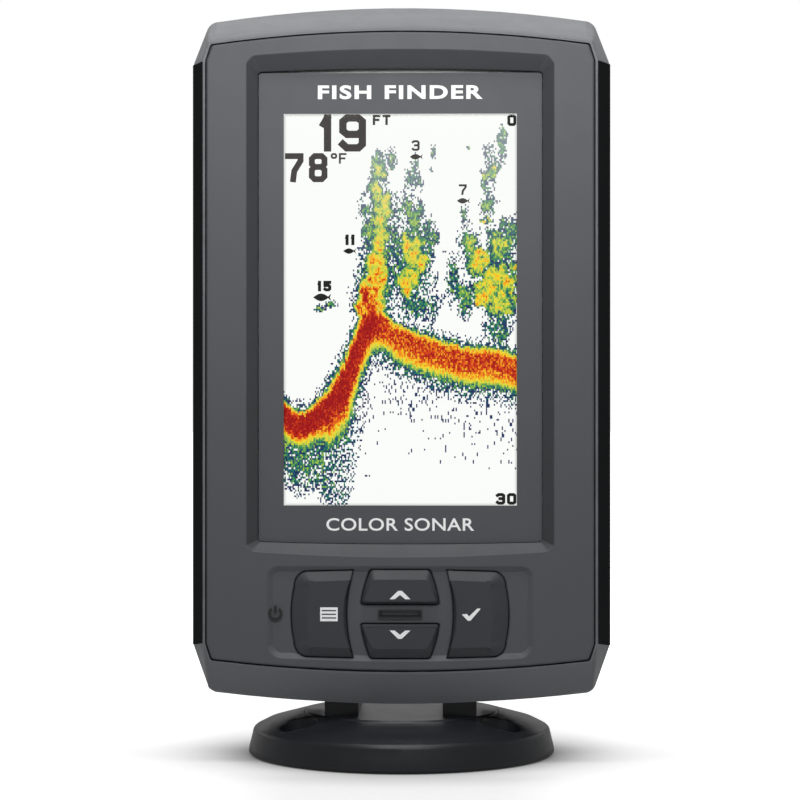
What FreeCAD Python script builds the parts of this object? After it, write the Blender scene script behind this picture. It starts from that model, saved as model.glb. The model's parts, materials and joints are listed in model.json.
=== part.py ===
"""A bracket-mounted fish finder: control head, quick-release tilt mount and swivel base.

Frame: millimetres, +Z up along the swivel axis, -Y towards the viewer of the screen,
+X to the viewer's right. The origin is the centre of the base's mounting face.
"""
import FreeCAD, Part
import math
import os
import re
import Sketcher

Vector = FreeCAD.Vector
doc = FreeCAD.newDocument("FishFinder")

# ---------------------------------------------------------------- driving dimensions

PLAIN_SIZES = {
    # Fits: parts that touch, parts that slide past each other, moving pairs; and how far
    # a cut runs past the material that it opens.
    "touch_gap": 0.02, "slip_gap": 0.1, "running_gap": 0.06, "over": 1.0,
    # Fore-and-aft planes of the control head.
    "face_y": -22.0, "bezel_back_y": -18.6, "well_y": -21.3, "inner_back_y": 17.2,
    "rear_y": 20.0, "seam_gap": 0.35, "edge_round": 0.5, "side_round_share": 0.3,
    # Screen: printed overlay, its clear window and the display behind it.
    "overlay_y": -19.4, "overlay_thick": 0.3, "lens_thick": 1.2, "overlay_play": 0.12,
    "overlay_top_gap": 0.8, "window_half": 27.4, "window_low": 60.6, "window_high": 152.7,
    "lcd_half": 29.5, "lcd_low": 57.0, "lcd_high": 155.5, "lcd_thick": 1.8,
    "carrier_half": 35.4, "carrier_low": 49.6, "carrier_high": 165.2, "carrier_back_y": -14.2,
    "carrier_floor": 1.0, "carrier_bar_inset": 12.0, "carrier_bar_half": 4.0,
    "carrier_post_r": 2.4, "ribbon_half": 11.0, "ribbon_low": 77.0, "ribbon_high": 109.0,
    # Circuit board and the parts on it.
    "board_half": 33.0, "board_low": 26.2, "board_high": 164.0, "board_front_y": -13.4,
    "board_thick": 1.6, "board_screw_x": 31.0, "board_screw_low": 53.2, "board_screw_high": 160.4,
    "board_screw_r": 1.0, "board_screw_head_r": 2.0, "board_screw_head": 1.3, "board_hole_r": 1.25,
    "chip_thick": 1.1, "shield_left": -24.0, "shield_right": 8.0, "shield_low": 86.0,
    "shield_high": 120.0, "shield_depth": 4.0, "shield_wall": 0.3,
    "beeper_x": 21.0, "beeper_z": 140.0, "beeper_r": 6.0, "beeper_depth": 5.5,
    # Keys: planes, then the menu and check keys, then the two arrow keys.
    "key_face_y": -22.7, "key_step_y": -21.7, "key_rim_y": -20.35, "key_rim_thick": 0.9,
    "key_back_y": -18.65, "key_gap": 0.3, "key_row_z": 35.3, "key_rim_grow": 0.9,
    "key_bevel": 2.2, "key_outer_bevel": 3.6, "key_inner_bevel": 0.5, "key_stem_r": 2.0,
    "side_key_x": 17.5, "side_inner_x": 11.1, "side_inner_half": 10.15, "side_corner_x": 22.0,
    "side_corner_half": 9.85, "side_outer_x": 24.6, "side_outer_half": 6.6,
    "side_corner_bulge": 0.8, "side_outer_bulge": 0.75, "side_hollow": 1.55,
    "arrow_key_rise": 6.4, "arrow_near": 2.4, "arrow_near_corner": 3.0, "arrow_far_corner": 9.6,
    "arrow_far": 10.3, "arrow_near_x": 8.4, "arrow_wide_x": 9.0, "arrow_narrow_x": 7.1,
    "arrow_far_x": 6.1, "arrow_bulge": 0.2,
    # Dish around the keys, the pocket behind it and the slot between the arrow keys.
    "well_half": 31.2, "well_low_half": 28.0, "well_high_half": 28.6, "well_low": 10.4,
    "well_high": 11.2, "well_side_low": 7.4, "well_side_high": 8.6, "well_slope": 1.3,
    "well_bulge": 0.7, "key_pocket_y": -20.4, "key_pocket_half": 27.4, "key_pocket_rise": 11.9,
    "slot_half": 4.1, "slot_rise": 0.75, "slot_depth": 0.8,
    # Keypad mat and the switches behind it.
    "mat_front_y": -17.8, "mat_thick": 0.9, "mat_half": 26.8, "mat_below": 9.8,
    "mat_above": 11.2, "mat_pad_r": 2.2, "switch_size": 5.0, "switch_depth": 2.4,
    "plunger_r": 1.5, "plunger_length": 2.0,
    # Case screws.
    "screw_x": 39.4, "screw_low": 33.0, "screw_mid": 97.0, "screw_high": 160.0,
    "screw_seat_y": -8.0, "column_front_y": -11.0, "screw_r": 1.5, "screw_head_r": 2.8,
    "screw_head_room": 0.3, "screw_room": 0.15, "screw_head": 2.2, "column_r": 4.3,
    "bezel_boss_r": 3.0, "boss_root": 0.5,
    # Side grips. They thin out towards the front and their ends follow the flared case.
    "grip_front_low": 28.3, "grip_low": 26.3, "grip_front_high": 164.9, "grip_high": 166.3,
    "grip_front_y": -20.6, "grip_back_y": 5.0, "grip_depth": 1.3, "grip_front_depth": 0.3,
    "grip_proud": 0.2,
    # Cord between the bezel and the housing.
    "seal_back_y": -19.0, "seal_thick": 0.9,
    # Recess under the head that the mount reaches into.
    "channel_half": 19.25, "channel_front_y": -17.4, "channel_knee_z": 18.0,
    "channel_wall_y": -8.0, "channel_rise_z": 27.0, "channel_top_z": 54.0, "channel_skin": 2.2,
    "channel_lip": 1.5, "detent_half": 3.0, "detent_thick": 0.4, "detent_room": 1.7,
    "detent_length": 17.0, "detent_top": 1.5,
    # Tilt mount.
    "pivot_y": 8.0, "pivot_z": 42.0, "boss_r": 9.0, "arm_inner_x": 10.0, "arm_outer_x": 18.0,
    "arm_front_y": -14.4, "arm_knee_z": 15.0, "arm_waist": 11.0, "arm_flare": 1.0,
    "arm_root": 5.0, "arm_root_flare": 7.0, "bolt_r": 3.0, "bolt_head_r": 5.4,
    "bolt_head": 2.9, "bolt_head_room": 0.6, "bolt_recess": 3.4, "nut_thick": 2.6,
    "washer_thick": 0.55, "tongue_half": 9.0, "tongue_half_y": 5.0, "tongue_top_z": 78.0,
    "socket_wall": 2.5, "shoulder_front": 13.0, "shoulder_back": 9.5, "shoulder_thick": 2.25,
    "hub_play": 0.6,
    # Swivel base.
    "base_r": 37.0, "base_edge": 0.6, "base_taper": 0.15, "base_taper_z": 1.8,
    "rim_r": 35.0, "rim_z": 6.7, "rim_drop": 1.4, "rim_bulge": 0.25, "outer_foot_r": 32.6,
    "outer_foot_z": 7.9, "cone_r": 24.2, "cone_z": 10.2, "cone_lip": 0.4, "disc_r": 23.5,
    "disc_z": 10.45, "disc_edge": 0.5, "disc_low_z": 6.0, "hub_r": 8.0, "hub_low_z": 2.2,
    "recess_r": 14.0, "recess_z": 3.2, "hole_x": 24.0, "hole_y": 16.5, "hole_r": 2.2,
    "hole_head_r": 4.4, "hole_seat_z": 4.0, "swivel_screw_r": 2.5, "swivel_head_r": 5.0,
    "swivel_head": 0.98, "swivel_washer": 0.98, "swivel_screw_top_z": 7.2,
    # Cable sockets on the back and the pressure vent above them.
    "socket_x": 17.0, "socket_z": 112.0, "socket_r": 7.5, "socket_bore_r": 5.4,
    "socket_floor_y": 15.2, "socket_root_y": 11.2, "collar_y": 28.0, "flange_r": 10.0,
    "flange_thick": 2.2, "gasket_thick": 1.0, "socket_nut": 3.0, "pin_r": 0.8,
    "pin_length": 6.0, "pin_pitch": 2.0, "vent_z": 140.0, "vent_r": 5.0, "vent_thick": 1.2,
}

# Eight-sided outlines, symmetric in X: crowned top and bottom, straight sides and cut
# corners. y is where the outline stands; half is its half width; top and bottom are
# its heights on the centre line; the sags are how far the crowned edges fall away; cut
# is the corner's width; cut_top and cut_low are the corners' heights.
OUTLINES = {
    "mouth": dict(y=-21.4, half=46.2, top=172.5, top_sag=3.1, bottom=21.2, low_sag=2.7,
                  cut=1.45, cut_top=4.2, cut_low=4.2, round=0.6),
    "lip": dict(y=-19.3, half=46.7, top=173.4, top_sag=3.1, bottom=14.0, low_sag=3.2,
                cut=1.6, cut_top=5.0, cut_low=11.0, round=1.0),
    "brow": dict(y=-4.0, half=50.15, top=179.9, top_sag=3.2, bottom=12.2, low_sag=2.6,
                 cut=4.05, cut_top=10.3, cut_low=11.4, round=2.1),
    "waist": dict(y=5.0, half=50.15, top=179.6, top_sag=3.2, bottom=12.4, low_sag=2.6,
                  cut=4.05, cut_top=10.3, cut_low=11.4, round=2.1),
    "tail": dict(y=20.0, half=44.5, top=173.0, top_sag=2.6, bottom=25.0, low_sag=1.6,
                 cut=3.8, cut_top=8.0, cut_low=8.0, round=2.2),
    "room_a": dict(y=-18.6, half=43.6, top=169.8, top_sag=3.0, bottom=24.4, low_sag=2.6,
                   cut=1.7, cut_top=4.2, cut_low=4.0, round=0.8),
    "room_b": dict(y=-4.0, half=47.0, top=177.0, top_sag=3.2, bottom=16.0, low_sag=2.6,
                   cut=3.6, cut_top=9.4, cut_low=9.8, round=1.8),
    "room_c": dict(y=5.0, half=47.0, top=176.7, top_sag=3.2, bottom=16.0, low_sag=2.6,
                   cut=3.6, cut_top=9.4, cut_low=9.8, round=1.8),
    "room_d": dict(y=17.2, half=42.6, top=171.2, top_sag=2.8, bottom=26.0, low_sag=1.6,
                   cut=3.4, cut_top=7.8, cut_low=7.8, round=2.0),
    "bezel": dict(y=-22.0, half=45.4, top=171.6, top_sag=3.0, bottom=22.0, low_sag=2.6,
                  cut=1.3, cut_top=3.7, cut_low=3.8, round=0.7),
    "screen_rim": dict(y=-22.0, half=36.1, top=167.6, top_sag=1.4, bottom=48.6, low_sag=1.2,
                       cut=1.5, cut_top=1.9, cut_low=1.6, round=0.9),
    "screen_hole": dict(y=-20.2, half=33.4, top=163.2, top_sag=0.7, bottom=51.5, low_sag=0.5,
                        cut=0.6, cut_top=0.6, cut_low=0.6, round=0.3),
}

# Chips on the board: the left lower corner of each (x, z) and its width and height.
CHIPS = {
    "chip_processor": dict(x=-26.0, z=128.0, wide=14.0, high=14.0),
    "chip_memory": dict(x=-6.0, z=134.0, wide=9.0, high=7.0),
    "chip_sonar": dict(x=-24.0, z=66.0, wide=10.0, high=8.0),
    "chip_receiver": dict(x=-8.0, z=60.0, wide=6.0, high=9.0),
    "chip_power": dict(x=12.0, z=62.0, wide=12.0, high=6.0),
    "chip_driver": dict(x=16.0, z=76.0, wide=8.0, high=8.0),
}

SIZES = dict(PLAIN_SIZES)
for family in (OUTLINES, CHIPS):
    for family_member, values in family.items():
        for field, value in values.items():
            SIZES[family_member + "_" + field] = value

sheet = doc.addObject("Spreadsheet::Sheet", "Dims")
for row, (alias, value) in enumerate(SIZES.items(), 1):
    sheet.set("A%d" % row, alias)
    sheet.set("B%d" % row, str(value))
    sheet.setAlias("B%d" % row, alias)
doc.recompute()


# ---------------------------------------------------------------- helpers

def formula(text):
    """Point every dimension name in a formula at its cell of the sheet."""
    def cell(match):
        word = match.group()
        return "Dims." + word if word in SIZES else word
    return re.sub(r"[a-z][a-z_0-9]*", cell, str(text))


def bind(item, field, text):
    item.setExpression(field, formula(text))


def number(text):
    """The present value of a formula."""
    value = sheet.evalExpression(formula(text))
    return float(getattr(value, "Value", value))


def place(item, start):
    for axis, text in zip("xyz", start):
        bind(item, "Placement.Base." + axis, text)


def box(name, low, high):
    """A block between two opposite corners."""
    item = doc.addObject("Part::Box", name)
    for field, near, far in zip(("Length", "Width", "Height"), low, high):
        bind(item, field, "(%s) - (%s)" % (far, near))
    place(item, low)
    return item


def slab(name, half, front, back, low, high):
    """A block centred on X = 0."""
    return box(name, ("-(%s)" % half, front, low), (half, back, high))


AXIS_TURN = {
    "x": FreeCAD.Rotation(Vector(0, 1, 0), 90),
    "y": FreeCAD.Rotation(Vector(1, 0, 0), -90),
    "z": FreeCAD.Rotation(),
}


def rod(name, axis, radius, start, length):
    """A cylinder that grows from start along +axis."""
    item = doc.addObject("Part::Cylinder", name)
    item.Placement = FreeCAD.Placement(Vector(), AXIS_TURN[axis])
    bind(item, "Radius", radius)
    bind(item, "Height", length)
    place(item, start)
    return item


def ring(name, axis, outer, inner, start, length):
    """A washer or bush."""
    return cut(name, rod(name + "_outer", axis, outer, start, length),
               rod(name + "_bore", axis, inner, start, length))


def join(name, items):
    item = doc.addObject("Part::MultiFuse", name)
    item.Shapes = items
    return item


def cut(name, base, tool):
    item = doc.addObject("Part::Cut", name)
    item.Base = base
    item.Tool = tool
    return item


def group(name, items):
    """Several separate solids that share one node."""
    item = doc.addObject("Part::Compound", name)
    item.Links = items
    return item


def new_body(name):
    return doc.addObject("PartDesign::Body", name)


def origin_plane(body, role):
    return [item for item in body.Origin.OriginFeatures if item.Role == role][0]


def new_sketch(body, name, role, offset):
    """A sketch on one of the body's planes, moved along the plane's normal by offset.

    The normals are +Z for XY_Plane, -Y for XZ_Plane and +X for YZ_Plane.
    """
    item = body.newObject("Sketcher::SketchObject", name)
    item.AttachmentSupport = (origin_plane(body, role), [""])
    item.MapMode = "FlatFace"
    bind(item, "AttachmentOffset.Base.z", offset)
    return item


def constrain(sketch, text, *rest):
    spot = sketch.addConstraint(Sketcher.Constraint(*rest))
    bind(sketch, "Constraints[%d]" % spot, text)


def closed_loop(sketch, corners):
    """A closed outline. Each corner is (x, y) or (x, y, bulge) with formulas.

    A bulge makes the stretch to the next corner an arc that stands out by that much to
    the right of its direction of travel (to the left when the bulge is negative).
    """
    first = sketch.GeometryCount
    count = len(corners)
    spots = [Vector(number(corner[0]), number(corner[1]), 0) for corner in corners]
    ends = []
    for index, corner in enumerate(corners):
        here = spots[index]
        there = spots[(index + 1) % count]
        if len(corner) == 2:
            sketch.addGeometry(Part.LineSegment(here, there))
            ends.append((1, 2))
            continue
        bulge = number(corner[2])
        along = there - here
        chord = along.Length
        side = Vector(along.y, -along.x, 0) / chord
        radius = chord ** 2 / (8 * abs(bulge)) + abs(bulge) / 2
        sign = math.copysign(1, bulge)
        centre = (here + there) / 2 - side * sign * (radius - abs(bulge))
        start, stop = (here, there) if bulge > 0 else (there, here)
        turn = [math.atan2(spot.y - centre.y, spot.x - centre.x) for spot in (start, stop)]
        circle_curve = Part.Circle(centre, Vector(0, 0, 1), radius)
        sketch.addGeometry(Part.ArcOfCircle(circle_curve, turn[0], turn[1]))
        ends.append((1, 2) if bulge > 0 else (2, 1))
    for index, corner in enumerate(corners):
        following = (index + 1) % count
        sketch.addConstraint(Sketcher.Constraint(
            "Coincident", first + index, ends[index][1], first + following, ends[following][0]))
        spot = spots[index]
        constrain(sketch, corner[0], "DistanceX", -1, 1, first + index, ends[index][0], spot.x)
        constrain(sketch, corner[1], "DistanceY", -1, 1, first + index, ends[index][0], spot.y)
        if len(corner) == 3:
            across = "((%s) - (%s))" % (corners[following][0], corner[0])
            up = "((%s) - (%s))" % (corners[following][1], corner[1])
            size = "abs(%s)" % corner[2]
            constrain(sketch, "(%s^2 + %s^2) / (8 * %s) + %s / 2" % (across, up, size, size),
                      "Radius", first + index, sketch.Geometry[first + index].Radius)


def circle(sketch, x, y, radius):
    spot = sketch.addGeometry(Part.Circle(Vector(number(x), number(y), 0), Vector(0, 0, 1),
                                          number(radius)))
    constrain(sketch, x, "DistanceX", -1, 1, spot, 3, number(x))
    constrain(sketch, y, "DistanceY", -1, 1, spot, 3, number(y))
    constrain(sketch, radius, "Radius", spot, number(radius))


def feature(body, kind, name, sketch, length, midplane=False, reverse=False):
    """A Pad (along the sketch's normal) or a Pocket (against it)."""
    item = body.newObject("PartDesign::" + kind, name)
    item.Profile = sketch
    bind(item, "Length", length)
    item.Midplane = midplane
    item.Reversed = reverse
    sketch.Visibility = False
    return item


def loft(body, kind, name, sketches):
    item = body.newObject("PartDesign::" + kind, name)
    item.Profile = sketches[0]
    item.Sections = sketches[1:]
    item.Ruled = True
    return item


def round_edges(body, name, radius, wanted):
    """Round the edges of the body's present shape for which wanted(edge) is true."""
    doc.recompute()
    base = body.Tip
    names = ["Edge%d" % (index + 1) for index, edge in enumerate(base.Shape.Edges) if wanted(edge)]
    item = body.newObject("PartDesign::Fillet", name)
    item.Base = (base, names)
    bind(item, "Radius", radius)
    return item


def case_outline(body, name, key, grow="0", at=None):
    """One of the OUTLINES, with its corners rounded, on a plane that faces the viewer."""
    sketch = new_sketch(body, name, "XZ_Plane", "-(%s)" % (at or key + "_y"))
    corners = (
        case_corner(key, grow, "%s_bottom + %s_low_sag" % (key, key), "low", "-")
        + case_corner(key, grow, "%s_top - %s_top_sag" % (key, key), "top", "+")[::-1])
    right = [(x, z) for x, z, bulge in corners]
    left = [("-(%s)" % x, z) for x, z in right[::-1]]
    bulges = [bulge for x, z, bulge in corners if bulge]
    spots = right + left
    for index, bulge in zip((0, 2, 4, 6), bulges):
        spots[index] += (bulge,)
    spots[7] += (key + "_top_sag",)
    for index, bulge in zip((8, 10, 12, 14), bulges[::-1]):
        spots[index] += (bulge,)
    spots[15] += (key + "_low_sag",)
    closed_loop(sketch, spots)
    return sketch


def case_corner(key, grow, edge_z, end, sign):
    """The four points of one rounded cut corner, from the crowned edge to the side."""
    back = "-" if sign == "+" else "+"
    side = "(%s_half + %s)" % (key, grow)
    inner = "(%s_half - %s_cut + %s)" % (key, key, grow)
    edge = "(%s %s (%s))" % (edge_z, sign, grow)
    side_z = "(%s %s %s_cut_%s)" % (edge_z, back, key, end)
    run = "%s_cut" % key
    rise = "(%s_cut_%s + (%s))" % (key, end, grow)
    length = "sqrt((%s)^2 + %s^2)" % (run, rise)
    size = "%s_round" % key
    small = "(%s_round * side_round_share)" % key
    steep = "atan(%s / (%s))" % (rise, run)
    flat = "atan((%s) / %s)" % (run, rise)
    crown_bulge = "%s * cos(%s / 2) * tan(%s / 4)" % (size, steep, steep)
    side_bulge = "%s * cos(%s / 2) * tan(%s / 4)" % (small, flat, flat)
    return [
        ("%s - %s" % (inner, size), edge, crown_bulge),
        ("%s + %s * %s / %s" % (inner, size, run, length),
         "%s %s %s * %s / %s" % (edge, back, size, rise, length), None),
        ("%s - %s * %s / %s" % (side, small, run, length),
         "%s %s %s * %s / %s" % (side_z, sign, small, rise, length), side_bulge),
        (side, "%s %s %s" % (side_z, back, small), None),
    ]


# ---------------------------------------------------------------- control head: case

def grip_shape(name, side, grow):
    """A side grip, or (with a larger grow) the cutter for its seat.

    It is a strip that follows the flared flank, seen from above, with its two ends cut
    at a slant, seen from the side.
    """
    body = new_body(name + "_strip")
    section = new_sketch(body, name + "_section", "XY_Plane", "grip_low")
    flare = "(brow_half - mouth_half) / (brow_y - mouth_y)"
    front = "(mouth_half + (grip_front_y - mouth_y) * %s)" % flare
    sign = "-" if side < 0 else ""
    closed_loop(section, [
        (sign + "(%s + %s)" % (front, grow), "grip_front_y"),
        (sign + "(brow_half + %s)" % grow, "brow_y"),
        (sign + "(brow_half + %s)" % grow, "grip_back_y"),
        (sign + "(brow_half - grip_depth)", "grip_back_y"),
        (sign + "(brow_half - grip_depth)", "brow_y"),
        (sign + "(%s - grip_front_depth)" % front, "grip_front_y"),
    ][::side])
    feature(body, "Pad", name + "_pad", section, "grip_high - grip_low")
    for end, front_z, back_z, outside in (
            ("low", "grip_front_low", "grip_low", "grip_low - over"),
            ("high", "grip_front_high", "grip_high", "grip_high + over")):
        wedge = new_sketch(body, "%s_%s_end" % (name, end), "YZ_Plane", "0")
        closed_loop(wedge, [
            ("grip_front_y - over", outside), ("brow_y", outside), ("brow_y", back_z),
            ("grip_front_y", front_z), ("grip_front_y - over", front_z)])
        feature(body, "Pocket", "%s_%s_slant" % (name, end), wedge, "4 * brow_half", midplane=True)
    return body


def rear_housing():
    """The deep rear shell: flared brow, rear wall, mount recess, screw columns."""
    body = new_body("housing_shell")
    stations = ["mouth", "lip", "brow", "waist", "tail"]
    loft(body, "AdditiveLoft", "HousingShell",
         [case_outline(body, "Shell_" + key, key) for key in stations])

    seat = case_outline(body, "BezelSeat_outline", "bezel", "seam_gap")
    feature(body, "Pocket", "BezelSeat", seat, "bezel_back_y - bezel_y")
    rooms = ["room_a", "room_b", "room_c", "room_d"]
    loft(body, "SubtractiveLoft", "HousingRoom",
         [case_outline(body, "Room_" + key, key) for key in rooms])

    walls = new_sketch(body, "ChannelWalls_outline", "YZ_Plane", "0")
    closed_loop(walls, [
        ("channel_front_y - channel_lip", "lip_bottom + over"),
        ("brow_y", "brow_bottom + over"),
        ("waist_y", "waist_bottom + over"),
        ("inner_back_y + over / 2", "tail_bottom - over / 2"),
        ("inner_back_y + over / 2", "channel_top_z + channel_skin"),
        ("channel_wall_y - channel_skin", "channel_top_z + channel_skin"),
        ("channel_wall_y - channel_skin", "channel_rise_z + channel_skin / 5"),
        ("channel_front_y - channel_lip", "channel_knee_z + channel_skin / 3"),
    ])
    feature(body, "Pad", "ChannelWalls", walls, "2 * (channel_half + channel_skin)", midplane=True)

    tower = new_sketch(body, "TongueTower_outline", "XY_Plane", "channel_top_z + over")
    rectangle(tower, "0", "pivot_y", "tongue_half + socket_wall", "tongue_half_y + socket_wall")
    feature(body, "Pad", "TongueTower", tower, "tongue_top_z + socket_wall - channel_top_z")

    channel = new_sketch(body, "Channel_outline", "YZ_Plane", "0")
    closed_loop(channel, [
        ("channel_front_y", "0"),
        ("rear_y + over", "0"),
        ("rear_y + over", "channel_top_z"),
        ("channel_wall_y", "channel_top_z"),
        ("channel_wall_y", "channel_rise_z"),
        ("channel_front_y", "channel_knee_z"),
    ])
    feature(body, "Pocket", "Channel", channel, "2 * channel_half", midplane=True)

    socket = new_sketch(body, "TongueSocket_outline", "XY_Plane", "tongue_top_z + over")
    rectangle(socket, "0", "pivot_y", "tongue_half + running_gap", "tongue_half_y + running_gap")
    feature(body, "Pocket", "TongueSocket", socket, "tongue_top_z - channel_top_z + 2 * over")
    leaf = new_sketch(body, "LeafPocket_outline", "XY_Plane", "tongue_top_z - over")
    rectangle(leaf, "0", "pivot_y + tongue_half_y + detent_room / 4", "detent_half + slip_gap",
              "detent_room * 3 / 4")
    feature(body, "Pocket", "LeafPocket", leaf, "detent_length + over")

    columns = new_sketch(body, "ScrewColumns_outline", "XZ_Plane", "-(rear_y - over)")
    at_case_screws(columns, "column_r")
    feature(body, "Pad", "ScrewColumns", columns, "rear_y - over - column_front_y")
    heads = new_sketch(body, "ScrewHeads_outline", "XZ_Plane", "-(screw_seat_y)")
    at_case_screws(heads, "screw_head_r + screw_head_room")
    feature(body, "Pocket", "ScrewHeads", heads, "rear_y - screw_seat_y + over")
    shanks = new_sketch(body, "ScrewShanks_outline", "XZ_Plane", "-(column_front_y - over)")
    at_case_screws(shanks, "screw_r + screw_room")
    feature(body, "Pocket", "ScrewShanks", shanks, "screw_seat_y - column_front_y + 2 * over")

    ports = new_sketch(body, "SocketHoles_outline", "XZ_Plane", "-(inner_back_y - over)")
    for sign in ("-", ""):
        circle(ports, sign + "socket_x", "socket_z", "socket_r + slip_gap")
    feature(body, "Pocket", "SocketHoles", ports, "rear_y - inner_back_y + 2 * over")
    vent = new_sketch(body, "VentSeat_outline", "XZ_Plane", "-(rear_y - vent_thick)")
    circle(vent, "0", "vent_z", "vent_r + slip_gap")
    feature(body, "Pocket", "VentSeat", vent, "vent_thick + over")

    seats = join("grip_seats", [grip_shape("grip_seat_left", -1, "over"),
                                grip_shape("grip_seat_right", 1, "over")])
    return cut("rear_housing", body, seats)


def rectangle(sketch, x, y, half_x, half_y):
    closed_loop(sketch, [
        ("%s - (%s)" % (x, half_x), "%s - (%s)" % (y, half_y)),
        ("%s + (%s)" % (x, half_x), "%s - (%s)" % (y, half_y)),
        ("%s + (%s)" % (x, half_x), "%s + (%s)" % (y, half_y)),
        ("%s - (%s)" % (x, half_x), "%s + (%s)" % (y, half_y)),
    ])


def at_case_screws(sketch, radius):
    for x in ("-screw_x", "screw_x"):
        for z in ("screw_low", "screw_mid", "screw_high"):
            circle(sketch, x, z, radius)


def side_grip(name, side):
    """The rubber-like strip on one flank, a little proud of the case."""
    grip = grip_shape(name, side, "grip_proud")
    grip.Label = name
    return grip


def front_bezel():
    """The flat front: screen opening with sloped walls, key openings, screw bosses."""
    body = new_body("front_bezel")
    plate = case_outline(body, "Plate_outline", "bezel", at="bezel_back_y")
    feature(body, "Pad", "Plate", plate, "bezel_back_y - bezel_y")
    round_edges(body, "PlateEdge", "edge_round", is_bezel_rim)

    loft(body, "SubtractiveLoft", "ScreenSlope", [
        case_outline(body, "ScreenSlope_front", "screen_rim"),
        case_outline(body, "ScreenSlope_back", "screen_hole")])
    hole = case_outline(body, "ScreenHole_outline", "screen_hole")
    feature(body, "Pocket", "ScreenHole", hole, "bezel_back_y - face_y + over")

    loft(body, "SubtractiveLoft", "KeyWell", [
        key_well_outline(body, "KeyWell_front", "0", "face_y"),
        key_well_outline(body, "KeyWell_back", "-well_slope", "well_y")])
    pocket = new_sketch(body, "KeyPocket_outline", "XZ_Plane", "-(key_pocket_y)")
    rectangle(pocket, "0", "key_row_z", "key_pocket_half", "key_pocket_rise")
    feature(body, "Pocket", "KeyPocket", pocket, "bezel_back_y - key_pocket_y + over")
    for key in KEY_OUTLINES:
        sketch = key_sketch(body, key + "_opening", key, "face_y - over", "key_gap")
        feature(body, "Pocket", key + "_hole", sketch, "bezel_back_y - face_y + 2 * over")
    slot = new_sketch(body, "Slot_outline", "XZ_Plane", "-(well_y)")
    closed_loop(slot, [
        ("-slot_half", "key_row_z - slot_rise"),
        ("slot_half", "key_row_z - slot_rise", "0.98 * slot_rise"),
        ("slot_half", "key_row_z + slot_rise"),
        ("-slot_half", "key_row_z + slot_rise", "0.98 * slot_rise")])
    feature(body, "Pocket", "Slot", slot, "slot_depth")

    bosses = new_sketch(body, "Bosses_outline", "XZ_Plane", "-(column_front_y - slip_gap / 2)")
    at_case_screws(bosses, "bezel_boss_r")
    feature(body, "Pad", "Bosses", bosses, "column_front_y - bezel_back_y + boss_root")
    pilots = new_sketch(body, "Pilots_outline", "XZ_Plane", "-(bezel_back_y)")
    at_case_screws(pilots, "screw_r")
    feature(body, "Pocket", "Pilots", pilots, "column_front_y - bezel_back_y + over")
    return body


def key_well_outline(body, name, grow, at):
    """The shallow dish that the four keys sit in."""
    sketch = new_sketch(body, name, "XZ_Plane", "-(%s)" % at)
    low = "key_row_z - well_low - (%s)" % grow
    high = "key_row_z + well_high + (%s)" % grow
    half = "(well_half + (%s))" % grow
    low_half = "(well_low_half + (%s))" % grow
    high_half = "(well_high_half + (%s))" % grow
    closed_loop(sketch, [
        ("-" + low_half, low, "well_bulge"),
        (low_half, low, "well_bulge"),
        (half, "key_row_z - well_side_low"),
        (half, "key_row_z + well_side_high", "well_bulge"),
        (high_half, high),
        ("-" + high_half, high, "well_bulge"),
        ("-" + half, "key_row_z + well_side_high"),
        ("-" + half, "key_row_z - well_side_low", "well_bulge"),
    ])
    return sketch


def is_bezel_rim(edge):
    front = number("face_y")
    return all(abs(vertex.Point.y - front) < 0.01 for vertex in edge.Vertexes)


# ---------------------------------------------------------------- keys

def side_key(side, grow, middle_grow, outer_grow):
    """Outline of the menu key (side -1) or the check key (side +1).

    middle_grow is the growth of the hollow side next to the arrow keys and outer_grow
    that of the side away from them.
    """
    sign = "-" if side < 0 else ""
    inner = sign + "(side_inner_x - (%s))" % middle_grow
    corner = sign + "(side_corner_x + (%s) / 2)" % outer_grow
    outer = sign + "(side_outer_x + (%s))" % outer_grow
    corners = [
        (inner, "key_row_z - side_inner_half - (%s)" % grow),
        (corner, "key_row_z - side_corner_half - (%s)" % grow, "side_corner_bulge"),
        (outer, "key_row_z - side_outer_half", "side_outer_bulge"),
        (outer, "key_row_z + side_outer_half", "side_corner_bulge"),
        (corner, "key_row_z + side_corner_half + (%s)" % grow),
        (inner, "key_row_z + side_inner_half + (%s)" % grow, "-side_hollow"),
    ]
    return corners if side > 0 else mirrored_loop(corners)


def mirrored_loop(corners):
    """The same outline travelled the other way, so that its bulges keep their side."""
    plain = [corner[:2] for corner in corners][::-1]
    bulges = [corner[2:] for corner in corners][::-1]
    bulges = bulges[1:] + bulges[:1]
    return [spot + bulge for spot, bulge in zip(plain, bulges)]


def arrow_key(side, grow, middle_grow, outer_grow):
    """Outline of the up key (side +1) or the down key (side -1).

    grow is the growth of the far end, middle_grow that of the edge at the slot and
    outer_grow that of the two slanted flanks.
    """
    sign = "+" if side > 0 else "-"
    near = "key_row_z %s (arrow_near - (%s))" % (sign, middle_grow)
    near_corner = "key_row_z %s (arrow_near_corner - (%s))" % (sign, middle_grow)
    far_corner = "key_row_z %s (arrow_far_corner + (%s))" % (sign, grow)
    far = "key_row_z %s (arrow_far + (%s))" % (sign, grow)
    near_x = "(arrow_near_x + (%s))" % outer_grow
    wide_x = "(arrow_wide_x + (%s))" % outer_grow
    narrow_x = "(arrow_narrow_x + (%s))" % outer_grow
    far_x = "(arrow_far_x + (%s))" % outer_grow
    corners = [
        ("-" + near_x, near),
        (near_x, near, "arrow_bulge"),
        (wide_x, near_corner, "arrow_bulge"),
        (narrow_x, far_corner, "arrow_bulge"),
        (far_x, far),
        ("-" + far_x, far, "arrow_bulge"),
        ("-" + narrow_x, far_corner, "arrow_bulge"),
        ("-" + wide_x, near_corner, "arrow_bulge"),
    ]
    return corners if side > 0 else mirrored_loop(corners)


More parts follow.
